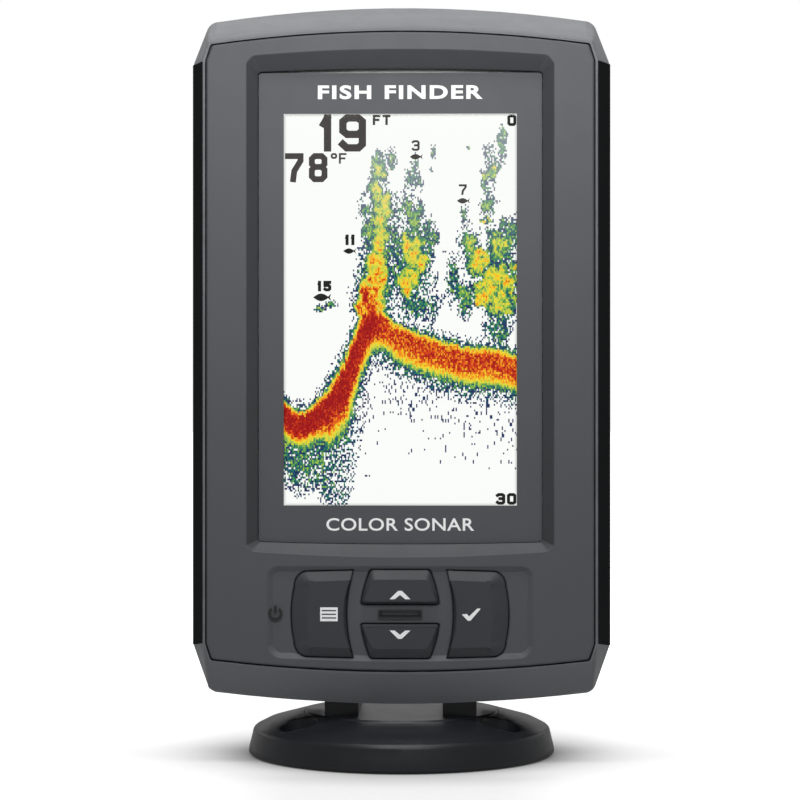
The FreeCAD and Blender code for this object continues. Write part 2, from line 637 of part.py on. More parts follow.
# For each key: its outline, its side and how far the crown draws in at the outer flanks.
KEY_OUTLINES = {
    "key_menu": (side_key, -1, "-key_outer_bevel"),
    "key_check": (side_key, 1, "-key_outer_bevel"),
    "key_up": (arrow_key, 1, "-key_inner_bevel"),
    "key_down": (arrow_key, -1, "-key_inner_bevel"),
}


def key_sketch(body, name, key, at, grow, middle_grow=None, outer_grow=None):
    """A key's outline, grown evenly unless the other growths are given."""
    draw, side = KEY_OUTLINES[key][:2]
    sketch = new_sketch(body, name, "XZ_Plane", "-(%s)" % at)
    closed_loop(sketch, draw(side, grow, middle_grow or grow, outer_grow or grow))
    return sketch


def key_cap(name, centre_x, centre_z):
    """A cap with a hidden rim behind the bezel and a stem that meets the keypad mat."""
    body = new_body(name)
    rim = key_sketch(body, name + "_rim_outline", name, "key_rim_y + key_rim_thick", "key_rim_grow")
    feature(body, "Pad", name + "_rim", rim, "key_rim_thick")
    wall = key_sketch(body, name + "_wall_outline", name, "key_rim_y + key_rim_thick / 2", "0")
    feature(body, "Pad", name + "_wall", wall, "key_rim_y + key_rim_thick / 2 - key_step_y")
    step = key_sketch(body, name + "_step_outline", name, "key_step_y", "0")
    face = key_sketch(body, name + "_face_outline", name, "key_face_y", "-key_bevel",
                      "-key_inner_bevel", KEY_OUTLINES[name][2])
    loft(body, "AdditiveLoft", name + "_crown", [step, face])
    stem = new_sketch(body, name + "_stem_outline", "XZ_Plane", "-(key_back_y)")
    circle(stem, centre_x, centre_z, "key_stem_r")
    feature(body, "Pad", name + "_stem", stem, "key_back_y - key_rim_y - key_rim_thick / 2")
    return body


# ---------------------------------------------------------------- screen and electronics

def screen_plate(name, front, thick, window=False):
    """A plate that fills the screen opening, with or without the display window."""
    body = new_body(name)
    back = "%s + %s" % (front, thick)
    sketch = case_outline(body, name + "_outline", "screen_hole", "-overlay_play", at=back)
    feature(body, "Pad", name + "_plate", sketch, thick)
    top_gap = new_sketch(body, name + "_gap_outline", "XZ_Plane", "-(%s)" % back)
    rectangle(top_gap, "0", "screen_hole_top + over - overlay_top_gap - overlay_play",
              "screen_hole_half + over", "over")
    feature(body, "Pocket", name + "_gap", top_gap, "2 * (lens_thick + over)", midplane=True)
    if window:
        opening = new_sketch(body, name + "_window_outline", "XZ_Plane", "-(%s)" % front)
        rectangle(opening, "0", "(window_low + window_high) / 2", "window_half",
                  "(window_high - window_low) / 2")
        feature(body, "Pocket", name + "_window", opening, thick + " + over")
    return body


def lens_gasket():
    """A flat seal between the bezel and the display carrier, around the lens."""
    body = new_body("lens_gasket")
    back = "overlay_y + overlay_thick + lens_thick"
    sketch = new_sketch(body, "Gasket_outline", "XZ_Plane", "-(%s)" % back)
    rectangle(sketch, "0", "(carrier_low + carrier_high) / 2", "carrier_half",
              "(carrier_high - carrier_low) / 2")
    feature(body, "Pad", "Gasket", sketch, "%s - bezel_back_y" % back)
    hole = case_outline(body, "Gasket_hole_outline", "screen_hole", "slip_gap / 2",
                        at="bezel_back_y - over")
    feature(body, "Pocket", "Gasket_hole", hole, "%s - bezel_back_y + 2 * over" % back)
    return body


def display_parts():
    """The display panel, its backlight, the tray that holds both and the flat cable."""
    front = "overlay_y + overlay_thick + lens_thick + touch_gap"
    panel_back = front + " + lcd_thick"
    panel = slab("lcd_panel", "lcd_half", front, panel_back, "lcd_low", "lcd_high")
    backlight = slab("backlight", "lcd_half - slip_gap", panel_back + " + touch_gap",
                     "carrier_back_y - slip_gap",
                     "lcd_low + slip_gap", "lcd_high - slip_gap")
    block = slab("carrier_block", "carrier_half", front, "carrier_back_y", "carrier_low",
                 "carrier_high")
    room = slab("carrier_room", "lcd_half + slip_gap", front + " - over", "carrier_back_y + over",
                "lcd_low - slip_gap", "lcd_high + slip_gap")
    bars = [slab("carrier_bar_" + word, "lcd_half + over", "carrier_back_y - touch_gap",
                 "carrier_back_y + carrier_floor / 2", "%s - carrier_bar_half" % z,
                 "%s + carrier_bar_half" % z)
            for word, z in (("low", "lcd_low + carrier_bar_inset"),
                            ("high", "lcd_high - carrier_bar_inset"))]
    posts = [rod("carrier_post_%d" % index, "y", "carrier_post_r",
                 (x, "carrier_back_y - carrier_floor", z),
                 "board_front_y - touch_gap - carrier_back_y + carrier_floor")
             for index, (x, z) in enumerate(board_screw_spots())]
    pilots = [rod("carrier_pilot_%d" % index, "y", "board_screw_r",
                  (x, "board_front_y - 2 * board_thick", z), "2 * board_thick + over")
              for index, (x, z) in enumerate(board_screw_spots())]
    solid = join("carrier_solid", [cut("carrier_tray", block, room)] + bars + posts)
    carrier = cut("lcd_carrier", solid, join("carrier_pilots", pilots))
    ribbon = slab("display_ribbon", "ribbon_half", "carrier_back_y + carrier_floor / 2",
                  "board_front_y - touch_gap", "ribbon_low", "ribbon_high")
    return [panel, backlight, carrier, ribbon]


def board_screw_spots():
    return [(x, z) for x in ("-board_screw_x", "board_screw_x")
            for z in ("board_screw_low", "board_screw_high")]


def main_board():
    plate = slab("board_plate", "board_half", "board_front_y", "board_front_y + board_thick",
                 "board_low", "board_high")
    holes = join("board_holes", [
        rod("board_hole_%d" % index, "y", "board_hole_r", (x, "board_front_y - over", z),
            "board_thick + 2 * over")
        for index, (x, z) in enumerate(board_screw_spots())])
    return cut("main_board", plate, holes)


def board_screws():
    """Four small screws that hold the board to the display carrier."""
    return group("board_screws", [
        join("board_screw_%d" % index, [
            rod("board_shank_%d" % index, "y", "board_screw_r",
                (x, "board_front_y - 2 * board_thick + slip_gap", z),
                "3 * board_thick + board_screw_head / 2"),
            rod("board_head_%d" % index, "y", "board_screw_head_r",
                (x, "board_front_y + board_thick + touch_gap", z), "board_screw_head")])
        for index, (x, z) in enumerate(board_screw_spots())])


def board_parts():
    """What stands on the rear side of the board: chips, the sonar can and the beeper."""
    back = "board_front_y + board_thick"
    chips = group("board_chips", [
        box(chip, ("%s_x" % chip, back, "%s_z" % chip),
            ("%s_x + %s_wide" % (chip, chip), back + " + chip_thick", "%s_z + %s_high" % (chip, chip)))
        for chip in CHIPS])
    can = box("shield_outer", ("shield_left", back, "shield_low"),
              ("shield_right", back + " + shield_depth", "shield_high"))
    room = box("shield_inner", ("shield_left + shield_wall", back + " - over", "shield_low + shield_wall"),
               ("shield_right - shield_wall", back + " + shield_depth - shield_wall",
                "shield_high - shield_wall"))
    beeper = rod("beeper", "y", "beeper_r", ("beeper_x", back, "beeper_z"), "beeper_depth")
    return [chips, cut("sonar_shield", can, room), beeper]


def key_switches():
    """A switch on the board behind each key, with a plunger that meets the mat."""
    return group("key_switches", [
        join("switch_%d" % index, [
            box("switch_case_%d" % index,
                (x + " - switch_size / 2", "board_front_y - switch_depth", z + " - switch_size / 2"),
                (x + " + switch_size / 2", "board_front_y", z + " + switch_size / 2")),
            rod("switch_plunger_%d" % index, "y", "plunger_r",
                (x, "mat_front_y + mat_thick + slip_gap / 2", z), "plunger_length")])
        for index, (x, z) in enumerate(KEY_CENTRES.values())])


KEY_CENTRES = {
    "key_menu": ("-side_key_x", "key_row_z"),
    "key_check": ("side_key_x", "key_row_z"),
    "key_up": ("0", "key_row_z + arrow_key_rise"),
    "key_down": ("0", "key_row_z - arrow_key_rise"),
}


def keypad_mat():
    """The rubber sheet that seals the keys and passes their travel to the switches."""
    sheet_part = slab("mat_sheet", "mat_half", "mat_front_y", "mat_front_y + mat_thick - slip_gap",
                      "key_row_z - mat_below", "key_row_z + mat_above")
    pads = [rod("mat_pad_%d" % index, "y", "mat_pad_r", (x, "mat_front_y + slip_gap", z),
                "mat_thick - slip_gap")
            for index, (x, z) in enumerate(KEY_CENTRES.values())]
    return join("keypad_mat", [sheet_part] + pads)


def case_seal():
    """The cord that fills the side gap between the bezel and the housing."""
    body = new_body("case_seal")
    outer = case_outline(body, "Seal_outer", "bezel", "seam_gap - touch_gap", at="seal_back_y")
    feature(body, "Pad", "Seal", outer, "seal_thick")
    inner = case_outline(body, "Seal_inner", "bezel", "touch_gap", at="seal_back_y - seal_thick - over")
    feature(body, "Pocket", "Seal_inside", inner, "seal_thick + 2 * over")
    return body


def case_screws():
    """Six long-reach screws that pull the bezel onto the housing."""
    spots = [(x, z) for x in ("-screw_x", "screw_x") for z in ("screw_low", "screw_mid", "screw_high")]
    return group("case_screws", [
        join("case_screw_%d" % index, [
            rod("case_shank_%d" % index, "y", "screw_r", (x, "bezel_back_y + over", z),
                "screw_seat_y - bezel_back_y - over + screw_head / 2"),
            rod("case_head_%d" % index, "y", "screw_head_r", (x, "screw_seat_y + touch_gap", z),
                "screw_head")])
        for index, (x, z) in enumerate(spots)])


def cable_socket(name, sign):
    """A flanged round socket, open to the rear."""
    x = sign + "socket_x"
    solid = join(name + "_solid", [
        rod(name + "_barrel", "y", "socket_r", (x, "socket_root_y", "socket_z"),
            "collar_y - socket_root_y"),
        rod(name + "_flange", "y", "flange_r", (x, "rear_y + gasket_thick", "socket_z"),
            "flange_thick")])
    return cut(name, solid, rod(name + "_mouth", "y", "socket_bore_r",
                                (x, "socket_floor_y", "socket_z"), "collar_y - socket_floor_y + over"))


def socket_fittings():
    """The nuts inside, the flat gaskets outside and the contact pins of both sockets."""
    signs = ("-", "")
    nuts = group("socket_nuts", [
        ring("socket_nut_%d" % index, "y", "flange_r", "socket_r + touch_gap",
             (sign + "socket_x", "inner_back_y - socket_nut - touch_gap", "socket_z"), "socket_nut")
        for index, sign in enumerate(signs)])
    gaskets = group("socket_gaskets", [
        ring("socket_gasket_%d" % index, "y", "flange_r - gasket_thick / 3", "socket_r + touch_gap",
             (sign + "socket_x", "rear_y", "socket_z"), "gasket_thick")
        for index, sign in enumerate(signs)])
    spots = [("-socket_x - pin_pitch", "0"), ("-socket_x + pin_pitch", "0")]
    spots += [("socket_x %s pin_pitch" % across, "%spin_pitch" % up) for across in "-+" for up in ("-", "")]
    pins = group("socket_pins", [
        rod("socket_pin_%d" % index, "y", "pin_r", (x, "socket_floor_y", "socket_z + " + dz),
            "pin_length")
        for index, (x, dz) in enumerate(spots)])
    return [nuts, gaskets, pins]


def vent_plug():
    """A round pressure vent in the rear wall."""
    return rod("vent_plug", "y", "vent_r", ("0", "rear_y - vent_thick", "vent_z"), "vent_thick")


def detent_spring():
    """The leaf that presses on the tongue and holds the head down on its mount."""
    front = "pivot_y + tongue_half_y + slip_gap"
    return slab("detent_spring", "detent_half", front, front + " + detent_thick",
                "tongue_top_z - detent_top - detent_length", "tongue_top_z - detent_top")


# ---------------------------------------------------------------- tilt mount

def mount_shoe():
    """The tilting part: a hub between the arms, a shoulder and the tongue for the head."""
    hub_half = "(arm_inner_x - hub_play)"
    hub = rod("shoe_hub", "x", "boss_r - slip_gap", ("-" + hub_half, "pivot_y", "pivot_z"),
              "2 * " + hub_half)
    tongue = slab("shoe_tongue", "tongue_half", "pivot_y - tongue_half_y",
                  "pivot_y + tongue_half_y", "pivot_z", "tongue_top_z")
    shoulder_top = "channel_top_z - running_gap"
    shoulder = slab("shoe_shoulder", "channel_half - over", "pivot_y - shoulder_front",
                    "pivot_y + shoulder_back", shoulder_top + " - shoulder_thick", shoulder_top)
    solid = join("shoe_solid", [hub, tongue, shoulder])
    bore = rod("shoe_bore", "x", "bolt_r + running_gap", ("-arm_inner_x", "pivot_y", "pivot_z"),
               "2 * arm_inner_x")
    return cut("mount_shoe", solid, bore)


def swivel_yoke():
    """The turntable disc with its hub and the two arms that carry the head."""
    body = new_body("swivel_yoke")
    section = new_sketch(body, "Disc_section", "XZ_Plane", "0")
    closed_loop(section, [
        ("0", "hub_low_z"), ("hub_r", "hub_low_z"), ("hub_r", "disc_low_z"),
        ("disc_r", "disc_low_z"), ("disc_r", "disc_z - disc_edge"), ("disc_r - disc_edge", "disc_z"),
        ("0", "disc_z")])
    disc = body.newObject("PartDesign::Revolution", "Disc")
    disc.Profile = section
    disc.ReferenceAxis = (section, ["V_Axis"])
    disc.Angle = 360
    for side, word in ((-1, "Left"), (1, "Right")):
        near = "arm_inner_x" if side > 0 else "-arm_outer_x"
        arm = new_sketch(body, "Arm%s_outline" % word, "YZ_Plane", near)
        closed_loop(arm, [
            ("arm_front_y", "disc_z - over"), ("pivot_y + arm_root", "disc_z - over"),
            ("pivot_y + arm_root_flare", "pivot_z - boss_r * 2"),
            ("pivot_y + boss_r", "pivot_z", "0.98 * boss_r"),
            ("pivot_y - boss_r", "pivot_z"), ("pivot_y - boss_r - arm_flare", "pivot_z - arm_waist"),
            ("arm_front_y", "arm_knee_z")])
        feature(body, "Pad", "Arm" + word, arm, "arm_outer_x - arm_inner_x")
        seat_at = "arm_outer_x" if side > 0 else "-arm_outer_x"
        seat = new_sketch(body, "BoltSeat%s_outline" % word, "YZ_Plane", seat_at)
        circle(seat, "pivot_y", "pivot_z", "bolt_head_r + bolt_head_room")
        feature(body, "Pocket", "BoltSeat" + word, seat, "bolt_recess", reverse=side < 0)
    bolt_hole = new_sketch(body, "BoltHole_outline", "YZ_Plane", "0")
    circle(bolt_hole, "pivot_y", "pivot_z", "bolt_r + touch_gap")
    feature(body, "Pocket", "BoltHole", bolt_hole, "2 * (arm_outer_x + over)", midplane=True)
    thread = new_sketch(body, "Thread_outline", "XY_Plane", "swivel_screw_top_z + over / 2")
    circle(thread, "0", "0", "swivel_screw_r")
    feature(body, "Pocket", "Thread", thread, "disc_z")
    return body


def tilt_fasteners():
    """The tilt bolt, its nut and the washers that make the joint stiff."""
    seat = "arm_outer_x - bolt_recess"
    bolt = join("tilt_bolt", [
        rod("tilt_shank", "x", "bolt_r", ("-(%s + nut_thick)" % seat, "pivot_y", "pivot_z"),
            "2 * (%s) + nut_thick + bolt_head / 2" % seat),
        rod("tilt_head", "x", "bolt_head_r", (seat + " + touch_gap", "pivot_y", "pivot_z"), "bolt_head")])
    prism = doc.addObject("Part::Prism", "nut_hexagon")
    prism.Polygon = 6
    prism.Placement = FreeCAD.Placement(Vector(), AXIS_TURN["x"])
    bind(prism, "Circumradius", "bolt_head_r")
    bind(prism, "Height", "nut_thick")
    place(prism, ("-(%s) - nut_thick - touch_gap" % seat, "pivot_y", "pivot_z"))
    nut = cut("tilt_nut", prism, rod("nut_bore", "x", "bolt_r", ("-arm_outer_x", "pivot_y", "pivot_z"),
                                     "2 * bolt_recess"))
    washers = group("friction_washers", [
        ring("friction_washer_%d" % index, "x", "boss_r - over", "bolt_r + slip_gap / 2",
             (start, "pivot_y", "pivot_z"), "washer_thick")
        for index, start in enumerate(("arm_inner_x - washer_thick", "-arm_inner_x"))])
    return [bolt, nut, washers]


# ---------------------------------------------------------------- swivel base

def base_plate():
    """The round foot with its turntable pocket and four fixing holes."""
    body = new_body("base_plate")
    section = new_sketch(body, "Foot_section", "XZ_Plane", "0")
    closed_loop(section, [
        ("recess_r", "0"), ("base_r - base_edge", "0"), ("base_r", "base_edge"),
        ("base_r - base_taper", "base_taper_z"), ("rim_r + over", "rim_z - rim_drop", "rim_bulge"),
        ("rim_r", "rim_z"), ("outer_foot_r", "outer_foot_z"), ("cone_r", "cone_z"),
        ("disc_r + running_gap", "cone_z - cone_lip"),
        ("disc_r + running_gap", "disc_low_z - running_gap"),
        ("hub_r + running_gap", "disc_low_z - running_gap"),
        ("hub_r + running_gap", "recess_z"), ("recess_r", "recess_z")])
    foot = body.newObject("PartDesign::Revolution", "Foot")
    foot.Profile = section
    foot.ReferenceAxis = (section, ["V_Axis"])
    foot.Angle = 360
    for word, low, radius in (("Hole", "-over", "hole_r"), ("HoleHead", "hole_seat_z", "hole_head_r")):
        sketch = new_sketch(body, word + "_outline", "XY_Plane", low)
        for x in ("-hole_x", "hole_x"):
            for y in ("-hole_y", "hole_y"):
                circle(sketch, x, y, radius)
        feature(body, "Pocket", word, sketch, "cone_z + 2 * over", reverse=True)
    return body


def swivel_fasteners():
    """The screw and washers that hold the turntable down in the foot."""
    washer_low = "hub_low_z - swivel_washer - touch_gap"
    head_low = washer_low + " - swivel_head - touch_gap"
    washer = ring("swivel_washer", "z", "recess_r - over", "swivel_screw_r + slip_gap / 2",
                  ("0", "0", washer_low), "swivel_washer")
    wave = ring("swivel_wave_washer", "z", "recess_r - 1.5 * over", "hub_r + slip_gap",
                ("0", "0", "hub_low_z + touch_gap"), "recess_z - hub_low_z - 2 * touch_gap")
    screw = join("swivel_screw", [
        rod("swivel_shank", "z", "swivel_screw_r", ("0", "0", head_low + " + swivel_head / 2"),
            "swivel_screw_top_z - (%s + swivel_head / 2)" % head_low),
        rod("swivel_head", "z", "swivel_head_r", ("0", "0", head_low), "swivel_head")])
    return [washer, wave, screw]


# ---------------------------------------------------------------- build, check and write

parts = [rear_housing(), side_grip("side_grip_left", -1), side_grip("side_grip_right", 1), front_bezel()]
parts += [key_cap(key, x, z) for key, (x, z) in KEY_CENTRES.items()]
parts += [screen_plate("screen_overlay", "overlay_y", "overlay_thick", window=True),
          screen_plate("screen_lens", "overlay_y + overlay_thick", "lens_thick"),
          lens_gasket(), keypad_mat(), case_seal(), case_screws(), vent_plug(), detent_spring()]
parts += display_parts() + [main_board(), board_screws()] + board_parts() + [key_switches()]
parts += [cable_socket("power_socket", "-"), cable_socket("transducer_socket", "")]
parts += socket_fittings()
parts += [base_plate(), swivel_yoke(), mount_shoe()] + swivel_fasteners() + tilt_fasteners()
doc.recompute()

for item in doc.Objects:
    if {"Invalid", "Error"} & set(item.State):
        raise SystemExit("failed: %s %s" % (item.Name, item.State))
os.makedirs("parts", exist_ok=True)
for part in parts:
    if part.Shape.isNull() or not part.Shape.isValid():
        raise SystemExit("bad shape: " + part.Label)
for part in parts:
    part.Shape.exportStep("parts/%s.step" % part.Label)
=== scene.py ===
"""Looks for the fish finder: plastics, rubber, metal, the lit sonar picture, symbols and studio."""

import json
import math

import bpy
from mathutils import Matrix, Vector


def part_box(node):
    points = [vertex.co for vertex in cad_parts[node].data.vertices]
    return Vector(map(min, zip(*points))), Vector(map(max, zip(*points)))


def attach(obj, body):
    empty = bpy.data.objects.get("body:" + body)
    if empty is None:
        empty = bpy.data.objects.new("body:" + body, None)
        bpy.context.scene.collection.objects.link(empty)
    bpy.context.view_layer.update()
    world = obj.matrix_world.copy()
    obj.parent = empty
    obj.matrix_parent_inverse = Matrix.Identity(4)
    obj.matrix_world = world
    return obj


MM = 0.001
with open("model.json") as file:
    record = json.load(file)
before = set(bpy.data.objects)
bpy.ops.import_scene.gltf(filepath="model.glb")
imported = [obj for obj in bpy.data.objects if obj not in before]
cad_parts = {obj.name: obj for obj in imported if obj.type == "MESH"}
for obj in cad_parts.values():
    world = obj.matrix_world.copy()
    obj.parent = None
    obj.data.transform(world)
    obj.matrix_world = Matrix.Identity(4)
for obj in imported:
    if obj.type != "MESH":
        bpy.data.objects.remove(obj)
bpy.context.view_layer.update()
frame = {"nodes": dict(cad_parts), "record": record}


# ---------------------------------------------------------------- shader arithmetic

class Value:
    """A number inside a shader, with ordinary arithmetic."""

    def __init__(self, tree, socket):
        self.tree = tree
        self.socket = socket

    def math(self, kind, *others, clamp=False):
        node = self.tree.nodes.new("ShaderNodeMath")
        node.operation = kind
        node.use_clamp = clamp
        for slot, item in zip(node.inputs, (self,) + others):
            if isinstance(item, Value):
                self.tree.links.new(item.socket, slot)
            else:
                slot.default_value = item
        return Value(self.tree, node.outputs[0])

    def __add__(self, other):
        return self.math("ADD", other)

    def __sub__(self, other):
        return self.math("SUBTRACT", other)

    def __mul__(self, other):
        return self.math("MULTIPLY", other)

    def __truediv__(self, other):
        return self.math("DIVIDE", other)

    def maximum(self, other):
        return self.math("MAXIMUM", other)

    def minimum(self, other):
        return self.math("MINIMUM", other)

    def clamped(self):
        return self.math("ADD", 0.0, clamp=True)

    def floor(self):
        return self.math("FLOOR")

    def absolute(self):
        return self.math("ABSOLUTE")

    def above(self, other):
        return self.math("GREATER_THAN", other)

    def rise(self, low, high):
        """0 below low, 1 above high and smooth between; also falls, when low > high."""
        node = self.tree.nodes.new("ShaderNodeMapRange")
        node.interpolation_type = "SMOOTHSTEP"
        self.tree.links.new(self.socket, node.inputs["Value"])
        node.inputs["From Min"].default_value = min(low, high)
        node.inputs["From Max"].default_value = max(low, high)
        node.inputs["To Min"].default_value = 0.0 if low < high else 1.0
        node.inputs["To Max"].default_value = 1.0 if low < high else 0.0
        return Value(self.tree, node.outputs["Result"])

    def bump_at(self, centre, width):
        """A smooth hill of height 1 and the given half width."""
        return ((self - centre) / width).absolute().rise(1.0, 0.0)


def new_material(name):
    material = bpy.data.materials.new(name)
    material.use_nodes = True
    tree = material.node_tree
    return material, tree, tree.nodes["Principled BSDF"]


def position(tree):
    """The three coordinates of the shaded point, in the object's own frame."""
    coordinate = tree.nodes.new("ShaderNodeTexCoord")
    split = tree.nodes.new("ShaderNodeSeparateXYZ")
    tree.links.new(coordinate.outputs["Object"], split.inputs[0])
    return [Value(tree, output) for output in split.outputs]


def vector(tree, x, y, z):
    """A vector from three values or plain numbers."""
    node = tree.nodes.new("ShaderNodeCombineXYZ")
    for slot, item in zip(node.inputs, (x, y, z)):
        if isinstance(item, Value):
            tree.links.new(item.socket, slot)
        else:
            slot.default_value = item
    return node.outputs[0]


def noise(tree, where, size, detail=2.0, roughness=0.5):
    """Soft noise from 0 to 1 with blobs of the given size in metres."""
    node = tree.nodes.new("ShaderNodeTexNoise")
    node.inputs["Scale"].default_value = 1.0 / size
    node.inputs["Detail"].default_value = detail
    node.inputs["Roughness"].default_value = roughness
    tree.links.new(where, node.inputs["Vector"])
    return Value(tree, node.outputs["Fac"])


def colour_ramp(tree, value, stops):
    """A paint that blends through the (place, colour) stops as the value rises."""
    node = tree.nodes.new("ShaderNodeValToRGB")
    ramp = node.color_ramp
    while len(ramp.elements) < len(stops):
        ramp.elements.new(0.5)
    for element, (place, colour) in zip(ramp.elements, stops):
        element.position = place
        element.color = tuple(colour) + (1.0,)
    tree.links.new(value.socket, node.inputs[0])
    return node.outputs["Color"]


def mixed_paint(tree, share, paint, colour):
    """A paint with a share of a plain colour mixed in."""
    mix = tree.nodes.new("ShaderNodeMix")
    mix.data_type = "RGBA"
    tree.links.new(share.socket, mix.inputs["Factor"])
    tree.links.new(paint, mix.inputs["A"])
    mix.inputs["B"].default_value = tuple(colour) + (1.0,)
    return mix.outputs["Result"]


def scaled_paint(tree, paint, factor):
    """A paint made darker or paler by a factor."""
    scale = tree.nodes.new("ShaderNodeVectorMath")
    scale.operation = "SCALE"
    tree.links.new(paint, scale.inputs[0])
    tree.links.new(factor.socket, scale.inputs["Scale"])
    return scale.outputs[0]


def shade(colour, factor):
    """A plain colour made darker or paler by a factor."""
    return tuple(min(1.0, channel * factor) for channel in colour)


def edge_flatness(tree, radius):
    """How little the surface turns within a radius: 1 on flat faces, less near edges."""
    bevel = tree.nodes.new("ShaderNodeBevel")
    bevel.samples = 4
    bevel.inputs["Radius"].default_value = radius
    geometry = tree.nodes.new("ShaderNodeNewGeometry")
    dot = tree.nodes.new("ShaderNodeVectorMath")
    dot.operation = "DOT_PRODUCT"
    tree.links.new(bevel.outputs["Normal"], dot.inputs[0])
    tree.links.new(geometry.outputs["Normal"], dot.inputs[1])
    return Value(tree, dot.outputs["Value"])


def object_position(tree):
    """The shaded point as one vector, in the object's own frame."""
    coordinate = tree.nodes.new("ShaderNodeTexCoord")
    return coordinate.outputs["Object"]


# ---------------------------------------------------------------- materials

# How far worn edges reach, and the sizes of the broad mottling and of the smudges.
EDGE_WEAR_REACH = 0.35 * MM
BROAD_MOTTLING = 18 * MM
SMUDGE = 6 * MM


def plastic(name, colour, roughness, grain, grain_depth, wear=0.5, speckle=0.12, shine=0.5,
            shaded_slopes=False, edge_shade=0.0):
    """Moulded plastic: fine spark grain, faint mottling, uneven gloss and paler worn edges.

    Grain is the grain's size and grain_depth its depth. The slope flag paints shade onto the sloped walls
    around the screen. The edge width paints shade along both sides of square edges, standing in for the
    shadow in the gap between two mouldings."""
    material, tree, surface = new_material(name)
    where = object_position(tree)
    fine = noise(tree, where, grain, 3.0, 0.6)
    broad = noise(tree, where, BROAD_MOTTLING, 3.0)
    smudge = noise(tree, where, SMUDGE, 4.0, 0.6)
    tone = (fine - 0.5) * speckle + (broad - 0.5) * 0.16 + 0.5
    base = colour_ramp(tree, tone, [(0.0, shade(colour, 0.72)), (0.5, colour), (1.0, shade(colour, 1.32))])
    worn = edge_flatness(tree, EDGE_WEAR_REACH).rise(0.995, 0.93) * smudge.rise(0.42, 0.62) * wear
    paint = mixed_paint(tree, worn, base, [min(1.0, channel * 1.9 + 0.03) for channel in colour])
    # painted shade on the sloped walls around the screen
    if shaded_slopes:
        paint = painted_slope_shade(tree, paint)
    # painted shade along square edges, standing in for the shadow in the gaps between mouldings
    if edge_shade:
        paint = scaled_paint(tree, paint, edge_flatness(tree, edge_shade).rise(0.84, 0.975) * 0.85 + 0.15)
    tree.links.new(paint, surface.inputs["Base Color"])
    rough = (smudge - 0.5) * 0.16 + (fine - 0.5) * 0.08 + roughness
    tree.links.new(rough.socket, surface.inputs["Roughness"])
    surface.inputs["Specular IOR Level"].default_value = shine
    bump = tree.nodes.new("ShaderNodeBump")
    bump.inputs["Strength"].default_value = 0.6
    bump.inputs["Distance"].default_value = grain_depth
    tree.links.new(fine.socket, bump.inputs["Height"])
    tree.links.new(bump.outputs["Normal"], surface.inputs["Normal"])
    return material


def painted_slope_shade(tree, paint):
    """Painted shade on the sloped walls around the screen: darker all round, and darker still on the two
    side walls, where little light falls.
    """
    screen_low, screen_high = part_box("screen_overlay")
    bezel_low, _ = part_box("front_bezel")
    x, y, z = position(tree)
    coordinate = tree.nodes.new("ShaderNodeTexCoord")
    split = tree.nodes.new("ShaderNodeSeparateXYZ")
    tree.links.new(coordinate.outputs["Normal"], split.inputs[0])
    sideways = Value(tree, split.outputs[0]).absolute().rise(0.2, 0.5)
    behind_face = y.rise(bezel_low.y + 0.02 * MM, bezel_low.y + 0.15 * MM)
    beside_screen = x.absolute().rise(screen_high.x + 4 * MM, screen_high.x + 3 * MM)
    inside = behind_face * z.above(screen_low.z - 4 * MM) * beside_screen
    return scaled_paint(tree, paint, inside * (sideways * -0.22 - 0.28) + 1.0)


def metal(name, colour, roughness, streak):
    """Turned or plated metal with fine streaks and small tarnish patches."""
    material, tree, surface = new_material(name)
    x, y, z = position(tree)
    lines = noise(tree, vector(tree, x * 8.0, y, z * 8.0), streak, 4.0, 0.7)
    patch = noise(tree, object_position(tree), 2.5 * MM, 3.0)
    tone = (lines - 0.5) * 0.4 + (patch - 0.5) * 0.5 + 0.5
    stops = [(0.0, shade(colour, 0.6)), (0.55, colour), (1.0, shade(colour, 1.15))]
    tree.links.new(colour_ramp(tree, tone, stops), surface.inputs["Base Color"])
    surface.inputs["Metallic"].default_value = 1.0
    tree.links.new(((lines - 0.5) * 0.25 + roughness).socket, surface.inputs["Roughness"])
    return material


def clear_lens(name):
    """Thin clear window that adds only a faint reflection and a few wipe marks."""
    material, tree, _ = new_material(name)
    output = tree.nodes["Material Output"]
    clear = tree.nodes.new("ShaderNodeBsdfTransparent")
    gloss = tree.nodes.new("ShaderNodeBsdfGlossy")
    wipe = noise(tree, object_position(tree), 9 * MM, 5.0, 0.65)
    tree.links.new(((wipe - 0.5) * 0.06 + 0.05).maximum(0.01).socket, gloss.inputs["Roughness"])
    fresnel = tree.nodes.new("ShaderNodeFresnel")
    fresnel.inputs["IOR"].default_value = 1.35
    share = Value(tree, fresnel.outputs[0]) * 0.6
    mix = tree.nodes.new("ShaderNodeMixShader")
    tree.links.new(share.socket, mix.inputs[0])
    tree.links.new(clear.outputs[0], mix.inputs[1])
    tree.links.new(gloss.outputs[0], mix.inputs[2])
    tree.links.new(mix.outputs[0], output.inputs["Surface"])
    return material


def ink(name, colour, roughness=0.5):
    """Screen-printed ink: slightly uneven, slightly raised."""
    material, tree, surface = new_material(name)
    grain = noise(tree, object_position(tree), 0.12 * MM, 2.0)
    tree.links.new(colour_ramp(tree, grain, [(0.25, shade(colour, 0.93)), (0.75, colour)]),
                   surface.inputs["Base Color"])
    tree.links.new(((grain - 0.5) * 0.2 + roughness).socket, surface.inputs["Roughness"])
    return material


def screen_ink(name, colour):
    """Dark marks drawn by the display itself: lit evenly, so they only emit their colour."""
    material, tree, surface = new_material(name)
    dots = noise(tree, object_position(tree), 0.3 * MM, 1.0)
    lit = colour_ramp(tree, dots, [(0.3, colour), (0.8, tuple(c + 0.02 for c in colour))])
    surface.inputs["Base Color"].default_value = (0, 0, 0, 1)
    surface.inputs["Specular IOR Level"].default_value = 0.0
    surface.inputs["Emission Strength"].default_value = 1.0
    tree.links.new(lit, surface.inputs["Emission Color"])
    return material


